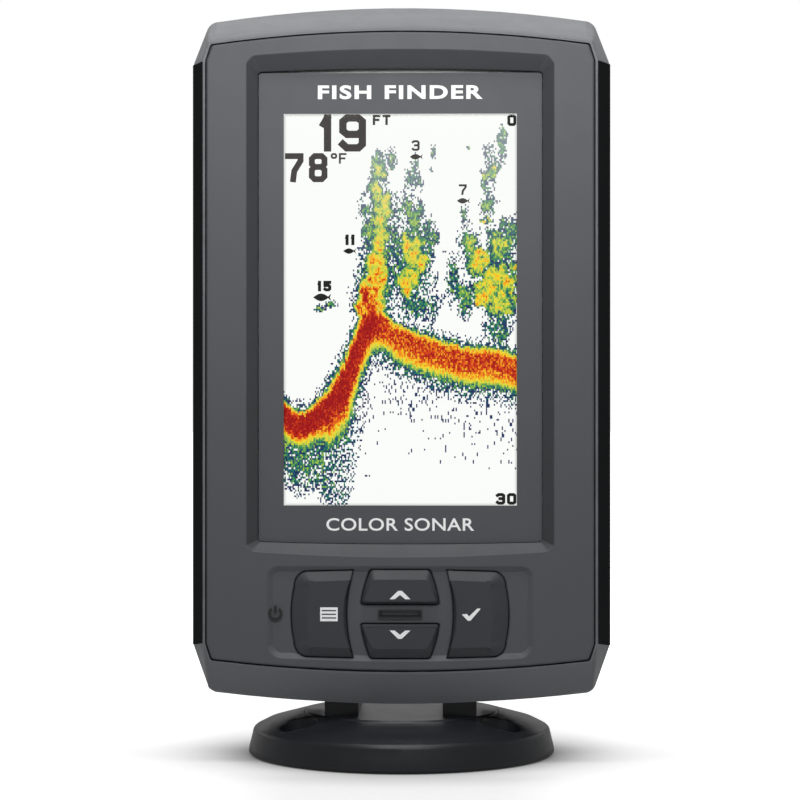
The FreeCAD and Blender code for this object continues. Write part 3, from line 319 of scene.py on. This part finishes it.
# The lit picture, 0 to 1 across and up: a sea bed that climbs to a peak and then falls
# gently, with tall weed echoes standing over it.
BED_LINE = [(0.0, 0.235), (0.07, 0.205), (0.14, 0.228), (0.2, 0.255), (0.25, 0.295), (0.3, 0.37),
            (0.34, 0.435), (0.38, 0.463), (0.5, 0.424), (0.65, 0.392), (0.8, 0.368), (0.92, 0.365),
            (1.0, 0.348)]
# Echo strength against millimetres above (+) or below (-) the middle of the bed.
BED_STRENGTH = [(-20.0, 0.0), (-14.0, 0.0), (-9.8, 0.05), (-7.8, 0.19), (-6.2, 0.34), (-4.8, 0.54),
                (-3.4, 0.76), (-1.8, 0.95), (1.4, 0.97), (2.2, 0.82), (2.9, 0.60), (3.5, 0.38),
                (4.4, 0.20), (6.0, 0.04), (8.0, 0.0)]
# Weed echoes: middle (across, up), half width, half height and strength.
WEED = [
    # the tall plume over the peak
    (0.37, 0.51, 0.080, 0.07, 0.98), (0.395, 0.57, 0.075, 0.07, 0.82), (0.40, 0.63, 0.072, 0.08, 0.74),
    (0.41, 0.69, 0.060, 0.07, 0.68), (0.42, 0.75, 0.055, 0.07, 0.63), (0.36, 0.735, 0.035, 0.035, 0.50),
    (0.405, 0.81, 0.042, 0.06, 0.60), (0.395, 0.865, 0.030, 0.035, 0.54), (0.45, 0.89, 0.022, 0.04, 0.44),
    # the shorter plume beside it
    (0.555, 0.84, 0.028, 0.06, 0.36), (0.50, 0.76, 0.035, 0.04, 0.36), (0.55, 0.73, 0.055, 0.06, 0.52),
    (0.63, 0.68, 0.040, 0.05, 0.44), (0.545, 0.655, 0.065, 0.05, 0.68), (0.59, 0.62, 0.055, 0.045, 0.70),
    (0.535, 0.575, 0.065, 0.065, 0.70), (0.48, 0.65, 0.050, 0.09, 0.40), (0.57, 0.52, 0.110, 0.07, 0.38),
    # the cloud on the right and the stalk over it
    (0.73, 0.59, 0.040, 0.06, 0.46), (0.795, 0.665, 0.050, 0.045, 0.57), (0.85, 0.63, 0.065, 0.045, 0.72),
    (0.94, 0.66, 0.070, 0.06, 0.57), (0.97, 0.70, 0.050, 0.035, 0.50), (0.94, 0.585, 0.100, 0.04, 0.74),
    (0.87, 0.555, 0.080, 0.04, 0.72), (0.94, 0.52, 0.080, 0.045, 0.66), (0.77, 0.53, 0.050, 0.05, 0.52),
    (0.92, 0.46, 0.070, 0.05, 0.42), (0.78, 0.73, 0.022, 0.02, 0.36), (0.88, 0.77, 0.035, 0.035, 0.50),
    (0.865, 0.717, 0.030, 0.016, 0.74), (0.887, 0.845, 0.030, 0.03, 0.60), (0.90, 0.86, 0.050, 0.04, 0.36),
    (0.94, 0.93, 0.022, 0.05, 0.46),
]
# Small stray echoes, kept crisp: two specks, a dot and the arc under the lowest fish.
STRAY = [
    (0.640, 0.903, 0.015, 0.020, 0.40), (0.795, 0.915, 0.010, 0.008, 0.38),
    (0.632, 0.858, 0.009, 0.007, 0.34),
    (0.155, 0.503, 0.024, 0.012, 0.52), (0.205, 0.515, 0.034, 0.009, 0.52),
]
# The colour of each echo strength: white water, blue, teal, green, yellow, orange, dark red.
ECHO_COLOURS = [
    (0.00, (0.98, 1.0, 0.97)), (0.125, (0.98, 1.0, 0.97)), (0.13, (0.020, 0.022, 0.085)),
    (0.24, (0.015, 0.045, 0.15)), (0.33, (0.012, 0.14, 0.14)), (0.42, (0.07, 0.32, 0.08)),
    (0.50, (0.40, 0.58, 0.08)), (0.58, (0.80, 0.74, 0.05)), (0.64, (0.92, 0.66, 0.03)),
    (0.72, (0.93, 0.30, 0.012)), (0.80, (0.72, 0.07, 0.008)), (0.90, (0.46, 0.014, 0.008)),
    (1.0, (0.33, 0.007, 0.008)),
]


def curve(tree, value, points, low=0.0, high=1.0):
    """A smooth function of value through the given points; low and high bound the value."""
    node = tree.nodes.new("ShaderNodeFloatCurve")
    line = node.mapping.curves[0]
    while len(line.points) < len(points):
        line.points.new(0.5, 0.5)
    for point, (place, result) in zip(line.points, points):
        point.location = ((place - low) / (high - low), result)
    node.mapping.update()
    scaled = (value - low) / (high - low)
    tree.links.new(scaled.clamped().socket, node.inputs["Value"])
    return Value(tree, node.outputs["Value"])


def dot_noise(tree, column, line, seed):
    """An independent random number from 0 to 1 for every dot of the display."""
    node = tree.nodes.new("ShaderNodeTexWhiteNoise")
    tree.links.new(vector(tree, column, line, seed), node.inputs["Vector"])
    return Value(tree, node.outputs["Value"])


def blob(across, up, spot):
    """A soft oval: its strength in the middle and 0 a little outside its half sizes."""
    x, z, half_x, half_z, strength = spot
    sideways = (across - x) / half_x
    upward = (up - z) / half_z
    away = (sideways * sideways + upward * upward).math("SQRT")
    return away.rise(1.32, 0.3) * strength


# One dot of the display, and the pale haze that the picture fades into towards its top.
DOT_WIDE = 0.31 * MM
DOT_HIGH = 0.44 * MM
HAZE = (0.97, 1.0, 0.96)
HAZE_SHARE = 0.26


def sonar_picture(name, low, high):
    """The display's own light, drawn dot by dot between two corners (x, z) in metres."""
    material, tree, surface = new_material(name)
    x, _, z = position(tree)
    column = (x / DOT_WIDE).floor()
    line = (z / DOT_HIGH).floor()
    across = ((column + 0.5) * DOT_WIDE - low[0]) / (high[0] - low[0])
    up = ((line + 0.5) * DOT_HIGH - low[1]) / (high[1] - low[1])
    grain = dot_noise(tree, column, line, 1.0)
    second_grain = dot_noise(tree, column, line, 7.0)
    clumps = noise(tree, vector(tree, across, up * 1.5, 0.0), 0.03, 3.0, 0.6)
    patches = noise(tree, vector(tree, across * 1.4, up * 1.6, 3.0), 0.10, 2.0)
    column_noise = dot_noise(tree, column, 0.0, 3.0)

    # the bed, thicker on the steep slope and a little weaker past the peak
    bed = curve(tree, across, BED_LINE)
    slope_gain = across.bump_at(0.27, 0.16) * 0.95 + 1.0
    wobble = (clumps - 0.5) * 1.6 + (column_noise - 0.5) * 0.7
    height_mm = (up - bed) * ((high[1] - low[1]) / MM) / slope_gain + wobble
    bed_echo = curve(tree, height_mm, BED_STRENGTH, -20.0, 8.0)
    weaker = across.rise(0.36, 0.46) * bed_echo.rise(0.6, 0.95) * 0.13
    bed_echo = bed_echo - weaker + (patches - 0.5) * 0.2 * bed_echo.rise(0.1, 0.5)

    # the weed, with its ovals bent out of shape
    bent_across = across + (noise(tree, vector(tree, across, up, 11.0), 0.07, 3.0, 0.6) - 0.5) * 0.13
    bent_up = up + (noise(tree, vector(tree, across, up, 17.0), 0.06, 3.0, 0.6) - 0.5) * 0.16
    weed = blob(bent_across, bent_up, WEED[0])
    for spot in WEED[1:]:
        weed = weed.maximum(blob(bent_across, bent_up, spot))
    for spot in STRAY:
        weed = weed.maximum(blob(across, up, spot))
    weed = weed * ((clumps - 0.5) * 1.3 + 0.84)

    # teal speckles under the left slope and lone dashes under the right one
    under = height_mm.rise(-19.0, -12.0) * height_mm.rise(-3.0, -6.0)
    teal = under * across.rise(0.42, 0.12) * ((clumps - 0.5) * 0.9 + 0.32)
    lone = dot_noise(tree, column, (line * 0.5).floor(), 5.0)
    lone = (lone + height_mm.rise(-30.0, -9.0) * 0.19).above(1.0) * across.rise(0.25, 0.4)
    lone = lone * grain.above(0.35) * height_mm.rise(-3.0, -5.0) * 0.2

    echo = bed_echo.maximum(weed).maximum(teal)
    roughness = echo.rise(0.50, 0.15) * 0.30 + echo.rise(0.68, 0.80) * 0.12 + 0.16
    present = echo.rise(0.015, 0.06)
    dropped = second_grain.above(0.72) * echo.rise(0.55, 0.25) * 0.22
    echo = (echo + (grain - 0.5) * roughness * present - dropped).maximum(lone)
    colour = colour_ramp(tree, echo.clamped(), ECHO_COLOURS)
    hazed = mixed_paint(tree, up.rise(0.58, 0.95) * HAZE_SHARE, colour, HAZE)

    # painted shade: the picture's light dims a little along the window's border, standing in for the
    # shadow of the overlay's edge
    border = (x - low[0]).minimum((x - high[0]) * -1.0).minimum((z - high[1]) * -1.0).minimum(z - low[1])
    shaded_glow = border.rise(-0.1 * MM, 0.7 * MM) * 0.35 + 0.65
    surface.inputs["Base Color"].default_value = (0, 0, 0, 1)
    surface.inputs["Specular IOR Level"].default_value = 0.0
    tree.links.new(shaded_glow.socket, surface.inputs["Emission Strength"])
    tree.links.new(hazed, surface.inputs["Emission Color"])
    return material


# Colour, roughness, grain size and grain depth of each plastic.
MATERIALS = {
    "case_grey": lambda: plastic(
        "Case_grey", (0.113, 0.118, 0.127), 0.50, 0.25 * MM, 0.035 * MM, speckle=0.22, shine=0.35),
    # the bezel carries painted shade on the sloped walls around its screen and along its square edges
    "bezel_grey": lambda: plastic(
        "Bezel_grey", (0.070, 0.074, 0.081), 0.52, 0.25 * MM, 0.035 * MM, speckle=0.22, shine=0.3,
        shaded_slopes=True, edge_shade=0.6 * MM),
    "grip_black": lambda: plastic(
        "Grip_black", (0.020, 0.0215, 0.022), 0.6, 0.5 * MM, 0.06 * MM, wear=0.1, speckle=0.4, shine=0.0),
    "mount_black": lambda: plastic(
        "Mount_black", (0.0125, 0.0135, 0.016), 0.36, 0.4 * MM, 0.004 * MM, wear=0.15, shine=0.3),
    # the keys carry painted shade along their square edges
    "key_grey": lambda: plastic(
        "Key_grey", (0.037, 0.039, 0.044), 0.50, 0.18 * MM, 0.012 * MM, wear=0.35, shine=0.3,
        edge_shade=0.7 * MM),
    "overlay_grey": lambda: plastic(
        "Overlay_grey", (0.072, 0.076, 0.083), 0.5, 0.12 * MM, 0.004 * MM, wear=0.0, shine=0.25),
    "lens_clear": lambda: clear_lens("Lens_clear"),
    "panel_white": lambda: plastic(
        "Panel_white", (0.85, 0.87, 0.87), 0.35, 0.3 * MM, 0.002 * MM, wear=0.0),
    "seal_rubber": lambda: plastic(
        "Seal_rubber", (0.014, 0.014, 0.015), 0.6, 0.15 * MM, 0.02 * MM, wear=0.1),
    "steel": lambda: metal("Plated_steel", (0.55, 0.56, 0.57), 0.32, 0.6 * MM),
    "brass": lambda: metal("Plated_brass", (0.80, 0.58, 0.24), 0.28, 0.4 * MM),
    "board_green": lambda: plastic(
        "Board_green", (0.015, 0.11, 0.045), 0.3, 0.5 * MM, 0.01 * MM, wear=0.1),
    "chip_black": lambda: plastic(
        "Chip_black", (0.02, 0.02, 0.021), 0.5, 0.1 * MM, 0.01 * MM, wear=0.1),
    "shield_tin": lambda: metal("Shield_tin", (0.66, 0.67, 0.67), 0.3, 1.2 * MM),
    "carrier_white": lambda: plastic(
        "Carrier_white", (0.68, 0.69, 0.68), 0.5, 0.3 * MM, 0.01 * MM, wear=0.1),
    "ribbon_amber": lambda: plastic(
        "Ribbon_amber", (0.50, 0.22, 0.04), 0.25, 0.6 * MM, 0.002 * MM, wear=0.0),
}
materials = {slot: make() for slot, make in MATERIALS.items()}


def dress_frame():
    """Every CAD node gets the material of its slot."""
    for row in frame["record"]["subparts"]:
        node = frame["nodes"][row["node"]]
        node.data.materials.clear()
        node.data.materials.append(materials[row["material_slot"]])


def soften(name, width, segments=3, angle=28):
    """Rounds the sharp edges of a CAD node with modifiers and smooths its shading."""
    node = frame["nodes"][name]
    weld = node.modifiers.new("Weld", "WELD")
    weld.merge_threshold = 0.002 * MM
    bevel = node.modifiers.new("Bevel", "BEVEL")
    bevel.width = width
    bevel.segments = segments
    bevel.limit_method = "ANGLE"
    bevel.angle_limit = math.radians(angle)
    bevel.harden_normals = True
    bevel.use_clamp_overlap = True


# ---------------------------------------------------------------- pieces

def add_piece(name, vertices, faces, material, body):
    """A new mesh that rides on a body and carries a material slot."""
    mesh = bpy.data.meshes.new(name)
    mesh.from_pydata(vertices, [], faces)
    mesh.materials.append(material)
    mesh.update()
    piece = bpy.data.objects.new(name, mesh)
    bpy.context.scene.collection.objects.link(piece)
    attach(piece, body)
    return piece


def plates(name, outlines, front, back, material, body):
    """Thin plates from (x, z) outlines, listed clockwise or not; front is nearer the viewer."""
    vertices = []
    faces = []
    for outline in outlines:
        area = sum(a[0] * b[1] - b[0] * a[1] for a, b in zip(outline, outline[1:] + outline[:1]))
        loop = outline if area > 0 else outline[::-1]
        count = len(loop)
        first = len(vertices)
        vertices += [(x, front, z) for x, z in loop] + [(x, back, z) for x, z in loop]
        faces.append(tuple(first + index for index in range(count)))
        faces.append(tuple(first + count + index for index in reversed(range(count))))
        for index in range(count):
            near = first + index
            next_near = first + (index + 1) % count
            faces.append((near, near + count, next_near + count, next_near))
    return add_piece(name, vertices, faces, material, body)


def rectangle(left, low, right, high):
    """The four corners of an upright rectangle."""
    return [(left, low), (right, low), (right, high), (left, high)]


def moved(outline, centre, scale=1.0):
    """An outline in millimetres, scaled and moved to a centre in metres."""
    return [(centre[0] + x * scale * MM, centre[1] + z * scale * MM) for x, z in outline]


def ribbon(points, width, closed=False):
    """Mitred quads that follow a polyline; the two ends of an open one reach half a width further."""
    count = len(points)
    places = [Vector(point) for point in points]
    if not closed:
        places[0] += (places[0] - places[1]).normalized() * width / 2
        places[-1] += (places[-1] - places[-2]).normalized() * width / 2
    rungs = []
    for index, here in enumerate(places):
        first = not closed and index == 0
        last = not closed and index == count - 1
        onward = (places[(index + 1) % count] - here).normalized() if not last else None
        arriving = (here - places[index - 1]).normalized() if not first else onward
        onward = onward or arriving
        side = Vector((-arriving.y, arriving.x))
        mitre = (side + Vector((-onward.y, onward.x))).normalized()
        reach = mitre * (width / 2 / mitre.dot(side))
        rungs.append((tuple(here - reach), tuple(here + reach)))
    quads = []
    for index in range(count if closed else count - 1):
        near, far = rungs[index], rungs[(index + 1) % count]
        quads.append([near[0], far[0], far[1], near[1]])
    return quads


def words(name, text, centre, height, front, material, body, wide=1.0, bold=0.0, raised=0.02 * MM,
          facing=1, spacing=1.0):
    """Characters that face the front (facing 1) or the back (-1), on the plane y = front.

    Height is that of a capital and bold is added stroke."""
    curve_data = bpy.data.curves.new(name, "FONT")
    curve_data.body = text
    curve_data.align_x = "CENTER"
    curve_data.size = 1.0
    curve_data.offset = bold
    curve_data.space_character = spacing
    curve_data.resolution_u = 4
    words_object = bpy.data.objects.new(name + "_curve", curve_data)
    bpy.context.scene.collection.objects.link(words_object)
    bpy.context.view_layer.update()
    depsgraph = bpy.context.evaluated_depsgraph_get()
    mesh = bpy.data.meshes.new_from_object(words_object.evaluated_get(depsgraph))
    bpy.data.objects.remove(words_object)
    lows = [min(vertex.co[axis] for vertex in mesh.vertices) for axis in (0, 1)]
    highs = [max(vertex.co[axis] for vertex in mesh.vertices) for axis in (0, 1)]
    scale = height / (highs[1] - lows[1])
    for vertex in mesh.vertices:
        x = (vertex.co.x - (lows[0] + highs[0]) / 2) * scale * wide * facing
        z = (vertex.co.y - (lows[1] + highs[1]) / 2) * scale
        vertex.co = (centre[0] + x, front, centre[1] + z)
    for polygon in mesh.polygons:
        polygon.use_smooth = False
    if facing < 0:
        mesh.flip_normals()
    mesh.materials.clear()
    mesh.materials.append(material)
    mesh.name = name
    piece = bpy.data.objects.new(name, mesh)
    bpy.context.scene.collection.objects.link(piece)
    thick = piece.modifiers.new("Thick", "SOLIDIFY")
    thick.thickness = raised
    thick.offset = -1.0
    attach(piece, body)
    return piece


# ---------------------------------------------------------------- display

# Corners (x, z) of the clear window in the printed panel.
WINDOW_LOW = (-27.4 * MM, 60.6 * MM)
WINDOW_HIGH = (27.4 * MM, 152.7 * MM)


def display():
    """The lit picture in front of the panel, with its numbers and fish marks."""
    panel_low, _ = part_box("lcd_panel")
    picture_y = panel_low.y - 0.003 * MM
    picture = sonar_picture("Sonar_picture", WINDOW_LOW, WINDOW_HIGH)
    edge = 0.6 * MM
    left, low = WINDOW_LOW[0] - edge, WINDOW_LOW[1] - edge
    right, high = WINDOW_HIGH[0] + edge, WINDOW_HIGH[1] + edge
    plates("sonar_picture", [rectangle(left, low, right, high)],
           picture_y, picture_y + 0.002 * MM, picture, "head")

    mark_y = picture_y - 0.006 * MM
    dark = screen_ink("Screen_dark", (0.058, 0.052, 0.048))
    black = screen_ink("Screen_black", (0.008, 0.008, 0.008))

    def readout(name, text, left, top, height, wide, line, ink_used=dark, gap=0.9):
        """Squared characters: left and top are the first one's corner, wide is width over height.

        Line is the stroke's width and gap the space between characters, in strokes."""
        outlines = []
        x = left
        for character in text:
            cell = height * wide * NARROW.get(character, 1.0)
            for points, closed in GLYPHS[character]:
                path = [(x + line / 2 + across * (cell - line),
                         top - height + line / 2 + up * (height - line)) for across, up in points]
                outlines += [moved(quad, (0, 0)) for quad in ribbon(path, line, closed)]
            x += cell + line * gap
        plates(name, outlines, mark_y, mark_y + 0.003 * MM, ink_used, "head")

    readout("depth_number", "19", -18.9, 152.75, 8.8, 0.72, 1.75)
    readout("depth_unit", "FT", -6.5, 152.6, 2.4, 0.76, 0.58)
    readout("water_number", "78", -27.2, 143.6, 6.85, 0.64, 1.40)
    readout("water_unit", "\u00b0F", -16.4, 143.6, 2.5, 0.72, 0.46)
    readout("scale_top", "0", 25.2, 152.6, 2.7, 0.78, 0.70, black)
    readout("scale_bottom", "30", 22.5, 63.5, 2.75, 0.81, 0.74, black, gap=0.5)
    for index, (depth, x, z, strong) in enumerate(FISH):
        ink_used = black if strong else dark
        line = 0.74 if strong else 0.50
        readout("fish_depth_%d" % index, depth, x, z, 2.5, 0.74, line, ink_used, gap=0.7)
        size = 1.15 if depth == "15" else 0.82
        middle = ((x + 1.0) * MM, (z - 3.9) * MM)
        plates("fish_%d" % index, [moved(part, middle, size) for part in fish_outlines()],
               mark_y, mark_y + 0.003 * MM, ink_used, "head")


def squared_ring(low, high):
    """A ring with cut corners between two heights of a character cell."""
    cut_x, cut_z = 0.22, 0.12
    return [(cut_x, low), (1 - cut_x, low), (1, low + cut_z), (1, high - cut_z),
            (1 - cut_x, high), (cut_x, high), (0, high - cut_z), (0, low + cut_z)]


# Characters of the display: centre lines in a cell 1 wide and 1 high, and whether each is a ring.
GLYPHS = {
    "0": [(squared_ring(0, 1), True)],
    "1": [([(0.75, 0), (0.75, 1)], False), ([(0.0, 0.80), (0.6, 0.97)], False)],
    "3": [([(0, 0.9), (0.2, 1), (0.8, 1), (1, 0.88), (1, 0.62), (0.8, 0.52), (0.4, 0.52)], False),
          ([(0.8, 0.52), (1, 0.42), (1, 0.12), (0.8, 0), (0.2, 0), (0, 0.1)], False)],
    "5": [([(1, 1), (0, 1), (0, 0.58), (0.8, 0.58), (1, 0.46), (1, 0.12), (0.8, 0), (0.2, 0),
            (0, 0.1)], False)],
    "7": [([(0, 1), (1, 1), (1, 0.8), (0.5, 0.35), (0.42, 0)], False)],
    "8": [(squared_ring(0, 0.53), True), (squared_ring(0.53, 1), True)],
    "9": [(squared_ring(0.45, 1), True), ([(1, 0.6), (1, 0.12), (0.8, 0), (0.2, 0), (0, 0.12)], False)],
    "F": [([(1, 1), (0, 1), (0, 0)], False), ([(0, 0.5), (0.8, 0.5)], False)],
    "T": [([(0, 1), (1, 1)], False), ([(0.5, 1), (0.5, 0)], False)],
    "\u00b0": [(squared_ring(0.56, 1), True)],
}
NARROW = {"1": 0.46, "\u00b0": 0.84}

# Fish marks: the depth over each, that number's left top corner in millimetres and whether
# the mark is drawn strongly.
FISH = [("3", 2.7, 146.6, False), ("7", 13.8, 136.2, False), ("11", -13.0, 124.4, True),
        ("15", -19.5, 113.5, True)]


def fish_outlines():
    """A body pointed at both ends and a forked tail, in millimetres."""
    top = [(-1.8 + 0.3 * step, 0.78 * math.sin(math.pi * step / 11)) for step in range(12)]
    low = [(x, -z) for x, z in top[1:-1]][::-1]
    tail = [(1.1, 0.0), (1.95, 0.8), (1.65, 0.0), (1.95, -0.8)]
    return [top + low, tail]


# ---------------------------------------------------------------- printing and symbols

def printing():
    """Plain words on the overlay, the symbols on the keys and the bezel, and a dark ring around the slot
    in the bezel that paints the shadow of its groove.
    """
    white = ink("Print_white", (0.86, 0.87, 0.87))
    black = ink("Print_black", (0.002, 0.002, 0.002), 0.6)
    overlay_low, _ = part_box("screen_overlay")
    overlay_ink_y = overlay_low.y - 0.004 * MM
    words("title", "FISH FINDER", (0, 157.75 * MM), 3.3 * MM, overlay_ink_y, white, "head",
          wide=1.42, bold=0.035, raised=0.004 * MM, spacing=1.16)
    words("subtitle", "COLOR SONAR", (0, 56.15 * MM), 3.0 * MM, overlay_ink_y, white, "head",
          wide=1.15, bold=0.012, raised=0.004 * MM, spacing=1.05)

    for body, outlines in (
            ("key_menu", menu_symbol()), ("key_check", check_symbol()),
            ("key_up", chevron(0, 39.8, 1)), ("key_down", chevron(0, 30.6, -1))):
        face_low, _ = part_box(body)
        plates("symbol_" + body, outlines, face_low.y - 0.02 * MM, face_low.y + 0.03 * MM, white, body)

    bezel_low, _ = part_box("front_bezel")
    face_y = bezel_low.y
    # painted shadow: a dark ring of the black print ink around the slot between the arrow keys stands in
    # for the shade in the slot's groove
    half_x, half_z, middle_z = 4.9 * MM, 0.75 * MM, 35.3 * MM
    slot_ring = rectangle(-half_x, middle_z - half_z, half_x, middle_z + half_z)
    plates("slot_shadow_ring", ribbon(slot_ring, 0.42 * MM, True), face_y - 0.012 * MM, face_y + 0.03 * MM,
           black, "head")
    plates("symbol_power", power_symbol(), face_y - 0.015 * MM, face_y + 0.03 * MM, black, "head")


def rear_marks():
    """Printed words over the two sockets on the back."""
    pale = ink("Print_pale", (0.42, 0.43, 0.43))
    _, housing_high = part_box("rear_housing")
    for socket, text in (("power_socket", "POWER"), ("transducer_socket", "SONAR")):
        socket_low, socket_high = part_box(socket)
        middle_x = (socket_low.x + socket_high.x) / 2
        words("mark_" + text.lower(), text, (middle_x, socket_high.z + 4.5 * MM), 2.6 * MM,
              housing_high.y + 0.02 * MM, pale, "head", wide=1.1, bold=0.01,
              raised=0.03 * MM, facing=-1)


def menu_symbol():
    """A page with three ruled lines, as the white strips around them."""
    x, z, half, rise, line, side = -16.6, 35.3, 2.05, 1.62, 0.32, 0.38
    outlines = [rectangle(x - half, z - rise, x - half + side, z + rise),
                rectangle(x + half - side, z - rise, x + half, z + rise)]
    edges = [z - rise]
    for ruled in (z - 0.85, z, z + 0.85):
        edges += [ruled - line / 2, ruled + line / 2]
    edges.append(z + rise)
    for low, high in zip(edges[::2], edges[1::2]):
        outlines.append(rectangle(x - half + side, low, x + half - side, high))
    return [moved(outline, (0, 0)) for outline in outlines]


def check_symbol():
    """A tick with a flat foot."""
    points = [(-2.15, 0.1), (-1.0, 0.25), (-0.45, -0.35), (1.45, 1.5), (2.3, 1.5), (-0.1, -1.35),
              (-0.75, -1.35)]
    return [moved(points, (16.6 * MM, 35.2 * MM))]


def chevron(x, z, side):
    """An arrow head that points up (side 1) or down (-1)."""
    points = [(-2.45, -0.95), (-1.25, -0.95), (0, 0.05), (1.25, -0.95), (2.45, -0.95), (0.45, 1.0),
              (-0.45, 1.0)]
    return [moved([(across, up * side) for across, up in points], (x * MM, z * MM))]


def power_symbol():
    """An open ring and a bar."""
    radius, width, steps = 1.35, 0.64, 28
    opening = math.radians(38)
    turn = (2 * math.pi - 2 * opening) / steps
    outlines = []
    for step in range(steps):
        start = math.pi / 2 + opening + turn * step
        corners = [(start, radius - width / 2), (start, radius + width / 2),
                   (start + turn, radius + width / 2), (start + turn, radius - width / 2)]
        outlines.append([(reach * math.cos(angle), reach * math.sin(angle)) for angle, reach in corners])
    outlines.append(rectangle(-0.33, 0.15, 0.33, 1.8))
    return [moved(outline, (-29.2 * MM, 35.4 * MM)) for outline in outlines]


# ---------------------------------------------------------------- studio

# Lights: place, the point each looks at, width, height and power.
LIGHTS = {
    "Front": ((0, -0.25, 0.24), (0, -0.02, 0.24), 0.22, 0.12, 0.66),
    "Steep": ((0, -0.12, 0.45), (0, -0.03, 0.10), 0.26, 0.10, 0.89),
    "Back_high": ((0, 0.30, 0.45), (0, 0, 0.12), 0.6, 0.3, 0.52),
    "Back_soft": ((0, 0.48, 0.30), (0, 0, 0.10), 0.5, 0.3, 0.28),
    "Side_left": ((-0.36, 0.34, 0.28), (0, 0, 0.10), 0.3, 0.4, 0.18),
    "Side_right": ((0.36, 0.34, 0.28), (0, 0, 0.10), 0.3, 0.4, 0.18),
}
# Share of the surroundings' light that the camera, mirror reflections and all rays see.
BACKDROP_SEEN = 0.88
BACKDROP_MIRRORED = 0.2
BACKDROP_ALL = 0.12

FLOOR_HALF = 6.0
FLOOR_DROP = 0.05 * MM
CONTACT_REACH = 40 * MM
CAMERA_PLACE = (0.010, -0.6, 0.0854)
CAMERA_AIM = (0, -0.022, 0.0854)
CAMERA_LENS = 111.2


def turned_to(item, target):
    """Turns a light or camera so that it looks at a point."""
    item.rotation_mode = "QUATERNION"
    item.rotation_quaternion = (Vector(target) - item.location).to_track_quat("-Z", "Y")


def area_light(name, place, target, width, height, power):
    light = bpy.data.lights.new(name, "AREA")
    light.shape = "RECTANGLE"
    light.size = width
    light.size_y = height
    light.energy = power
    lamp = bpy.data.objects.new(name, light)
    bpy.context.scene.collection.objects.link(lamp)
    lamp.location = place
    turned_to(lamp, target)


def floor_paper():
    """Pale paper with a painted shadow around the base: darker where the base stands close, fading to
    white away from the base.
    """
    material, tree, surface = new_material("Floor_pale")
    x, y, _ = position(tree)
    distance = (x * x + y * y).math("SQRT")
    path = tree.nodes.new("ShaderNodeLightPath")
    seen = Value(tree, path.outputs["Is Camera Ray"])
    unseen = seen * -1.0 + 1.0
    paper = noise(tree, object_position(tree), 3 * MM, 3.0)
    contact = tree.nodes.new("ShaderNodeAmbientOcclusion")
    contact.inputs["Distance"].default_value = CONTACT_REACH
    contact.samples = 8
    open_sky = Value(tree, contact.outputs["AO"])
    bright = paper * 0.03 + 0.67 - unseen * 0.10
    # painted contact shadow: the paper darkens where the ambient occlusion node finds things close by
    bright = bright * (open_sky * 0.9 + 0.1)
    paint = colour_ramp(tree, bright, [(0.0, (0, 0, 0)), (1.0, (1, 1, 1))])
    tree.links.new(paint, surface.inputs["Base Color"])
    surface.inputs["Roughness"].default_value = 0.7
    surface.inputs["Specular IOR Level"].default_value = 0.1

    # the camera sees the paper lit up by a white fill; other rays get only a weak bounce, so the head
    # stays dark. Close to the base the fill is held back, more in front of it, which paints a soft shadow
    # there; behind the base it is raised, which paints out the head's shadow.
    shadow_in_front = y.rise(-0.030, -0.045) * x.absolute().rise(0.048, 0.020)
    near = distance.rise(0.030, 0.047) * (shadow_in_front * -0.5 + 1.0) * 0.36
    further = distance.rise(0.040, 0.060) * 0.12 + distance.rise(0.15, 0.35) * 0.5
    fill = near + further + y.rise(-0.01, 0.04) * 0.25
    surface.inputs["Emission Color"].default_value = (1, 1, 1, 1)
    tree.links.new((fill * seen + unseen * 0.08).socket, surface.inputs["Emission Strength"])
    return material


def lay_floor():
    mesh = bpy.data.meshes.new("floor")
    corners = rectangle(-FLOOR_HALF, -FLOOR_HALF, FLOOR_HALF, FLOOR_HALF)
    mesh.from_pydata([(x, y, 0) for x, y in corners], [], [(0, 1, 2, 3)])
    mesh.materials.append(floor_paper())
    ground = bpy.data.objects.new("floor", mesh)
    bpy.context.scene.collection.objects.link(ground)
    ground.location.z = -FLOOR_DROP


def surroundings():
    """White for the camera, weaker in reflections and as general light."""
    world = bpy.data.worlds.new("Studio")
    bpy.context.scene.world = world
    world.use_nodes = True
    tree = world.node_tree
    background = tree.nodes["Background"]
    background.inputs["Color"].default_value = (1, 1, 1, 1)
    path = tree.nodes.new("ShaderNodeLightPath")
    seen = Value(tree, path.outputs["Is Camera Ray"]) * BACKDROP_SEEN
    mirrored = Value(tree, path.outputs["Is Glossy Ray"]) * BACKDROP_MIRRORED
    tree.links.new((seen + mirrored + BACKDROP_ALL).socket, background.inputs["Strength"])


def place_camera():
    """The camera stands in front, level with the middle of the head."""
    camera_data = bpy.data.cameras.new("Camera")
    camera_data.sensor_width = 36.0
    camera_data.lens = CAMERA_LENS
    camera_data.clip_start = 0.01
    eye = bpy.data.objects.new("Camera", camera_data)
    bpy.context.scene.collection.objects.link(eye)
    eye.location = CAMERA_PLACE
    turned_to(eye, CAMERA_AIM)
    bpy.context.scene.camera = eye
    bpy.context.scene.view_settings.view_transform = "Standard"


def studio():
    """A pale floor that runs into a white backdrop, two front lights and four from behind."""
    lay_floor()
    surroundings()
    for name, (place, target, width, height, power) in LIGHTS.items():
        area_light(name, place, target, width, height, power)
    place_camera()


# Rounding of the sharp edges of the visible nodes, in millimetres.
SOFT_EDGES = {
    "rear_housing": 0.35, "front_bezel": 0.2, "side_grip_left": 0.2, "side_grip_right": 0.2,
    "key_menu": 0.35, "key_check": 0.35, "key_up": 0.35, "key_down": 0.35,
    "base_plate": 0.35, "swivel_yoke": 0.3, "mount_shoe": 0.3,
}

dress_frame()
for node_name, edge_width in SOFT_EDGES.items():
    soften(node_name, edge_width * MM)
display()
printing()
rear_marks()
studio()
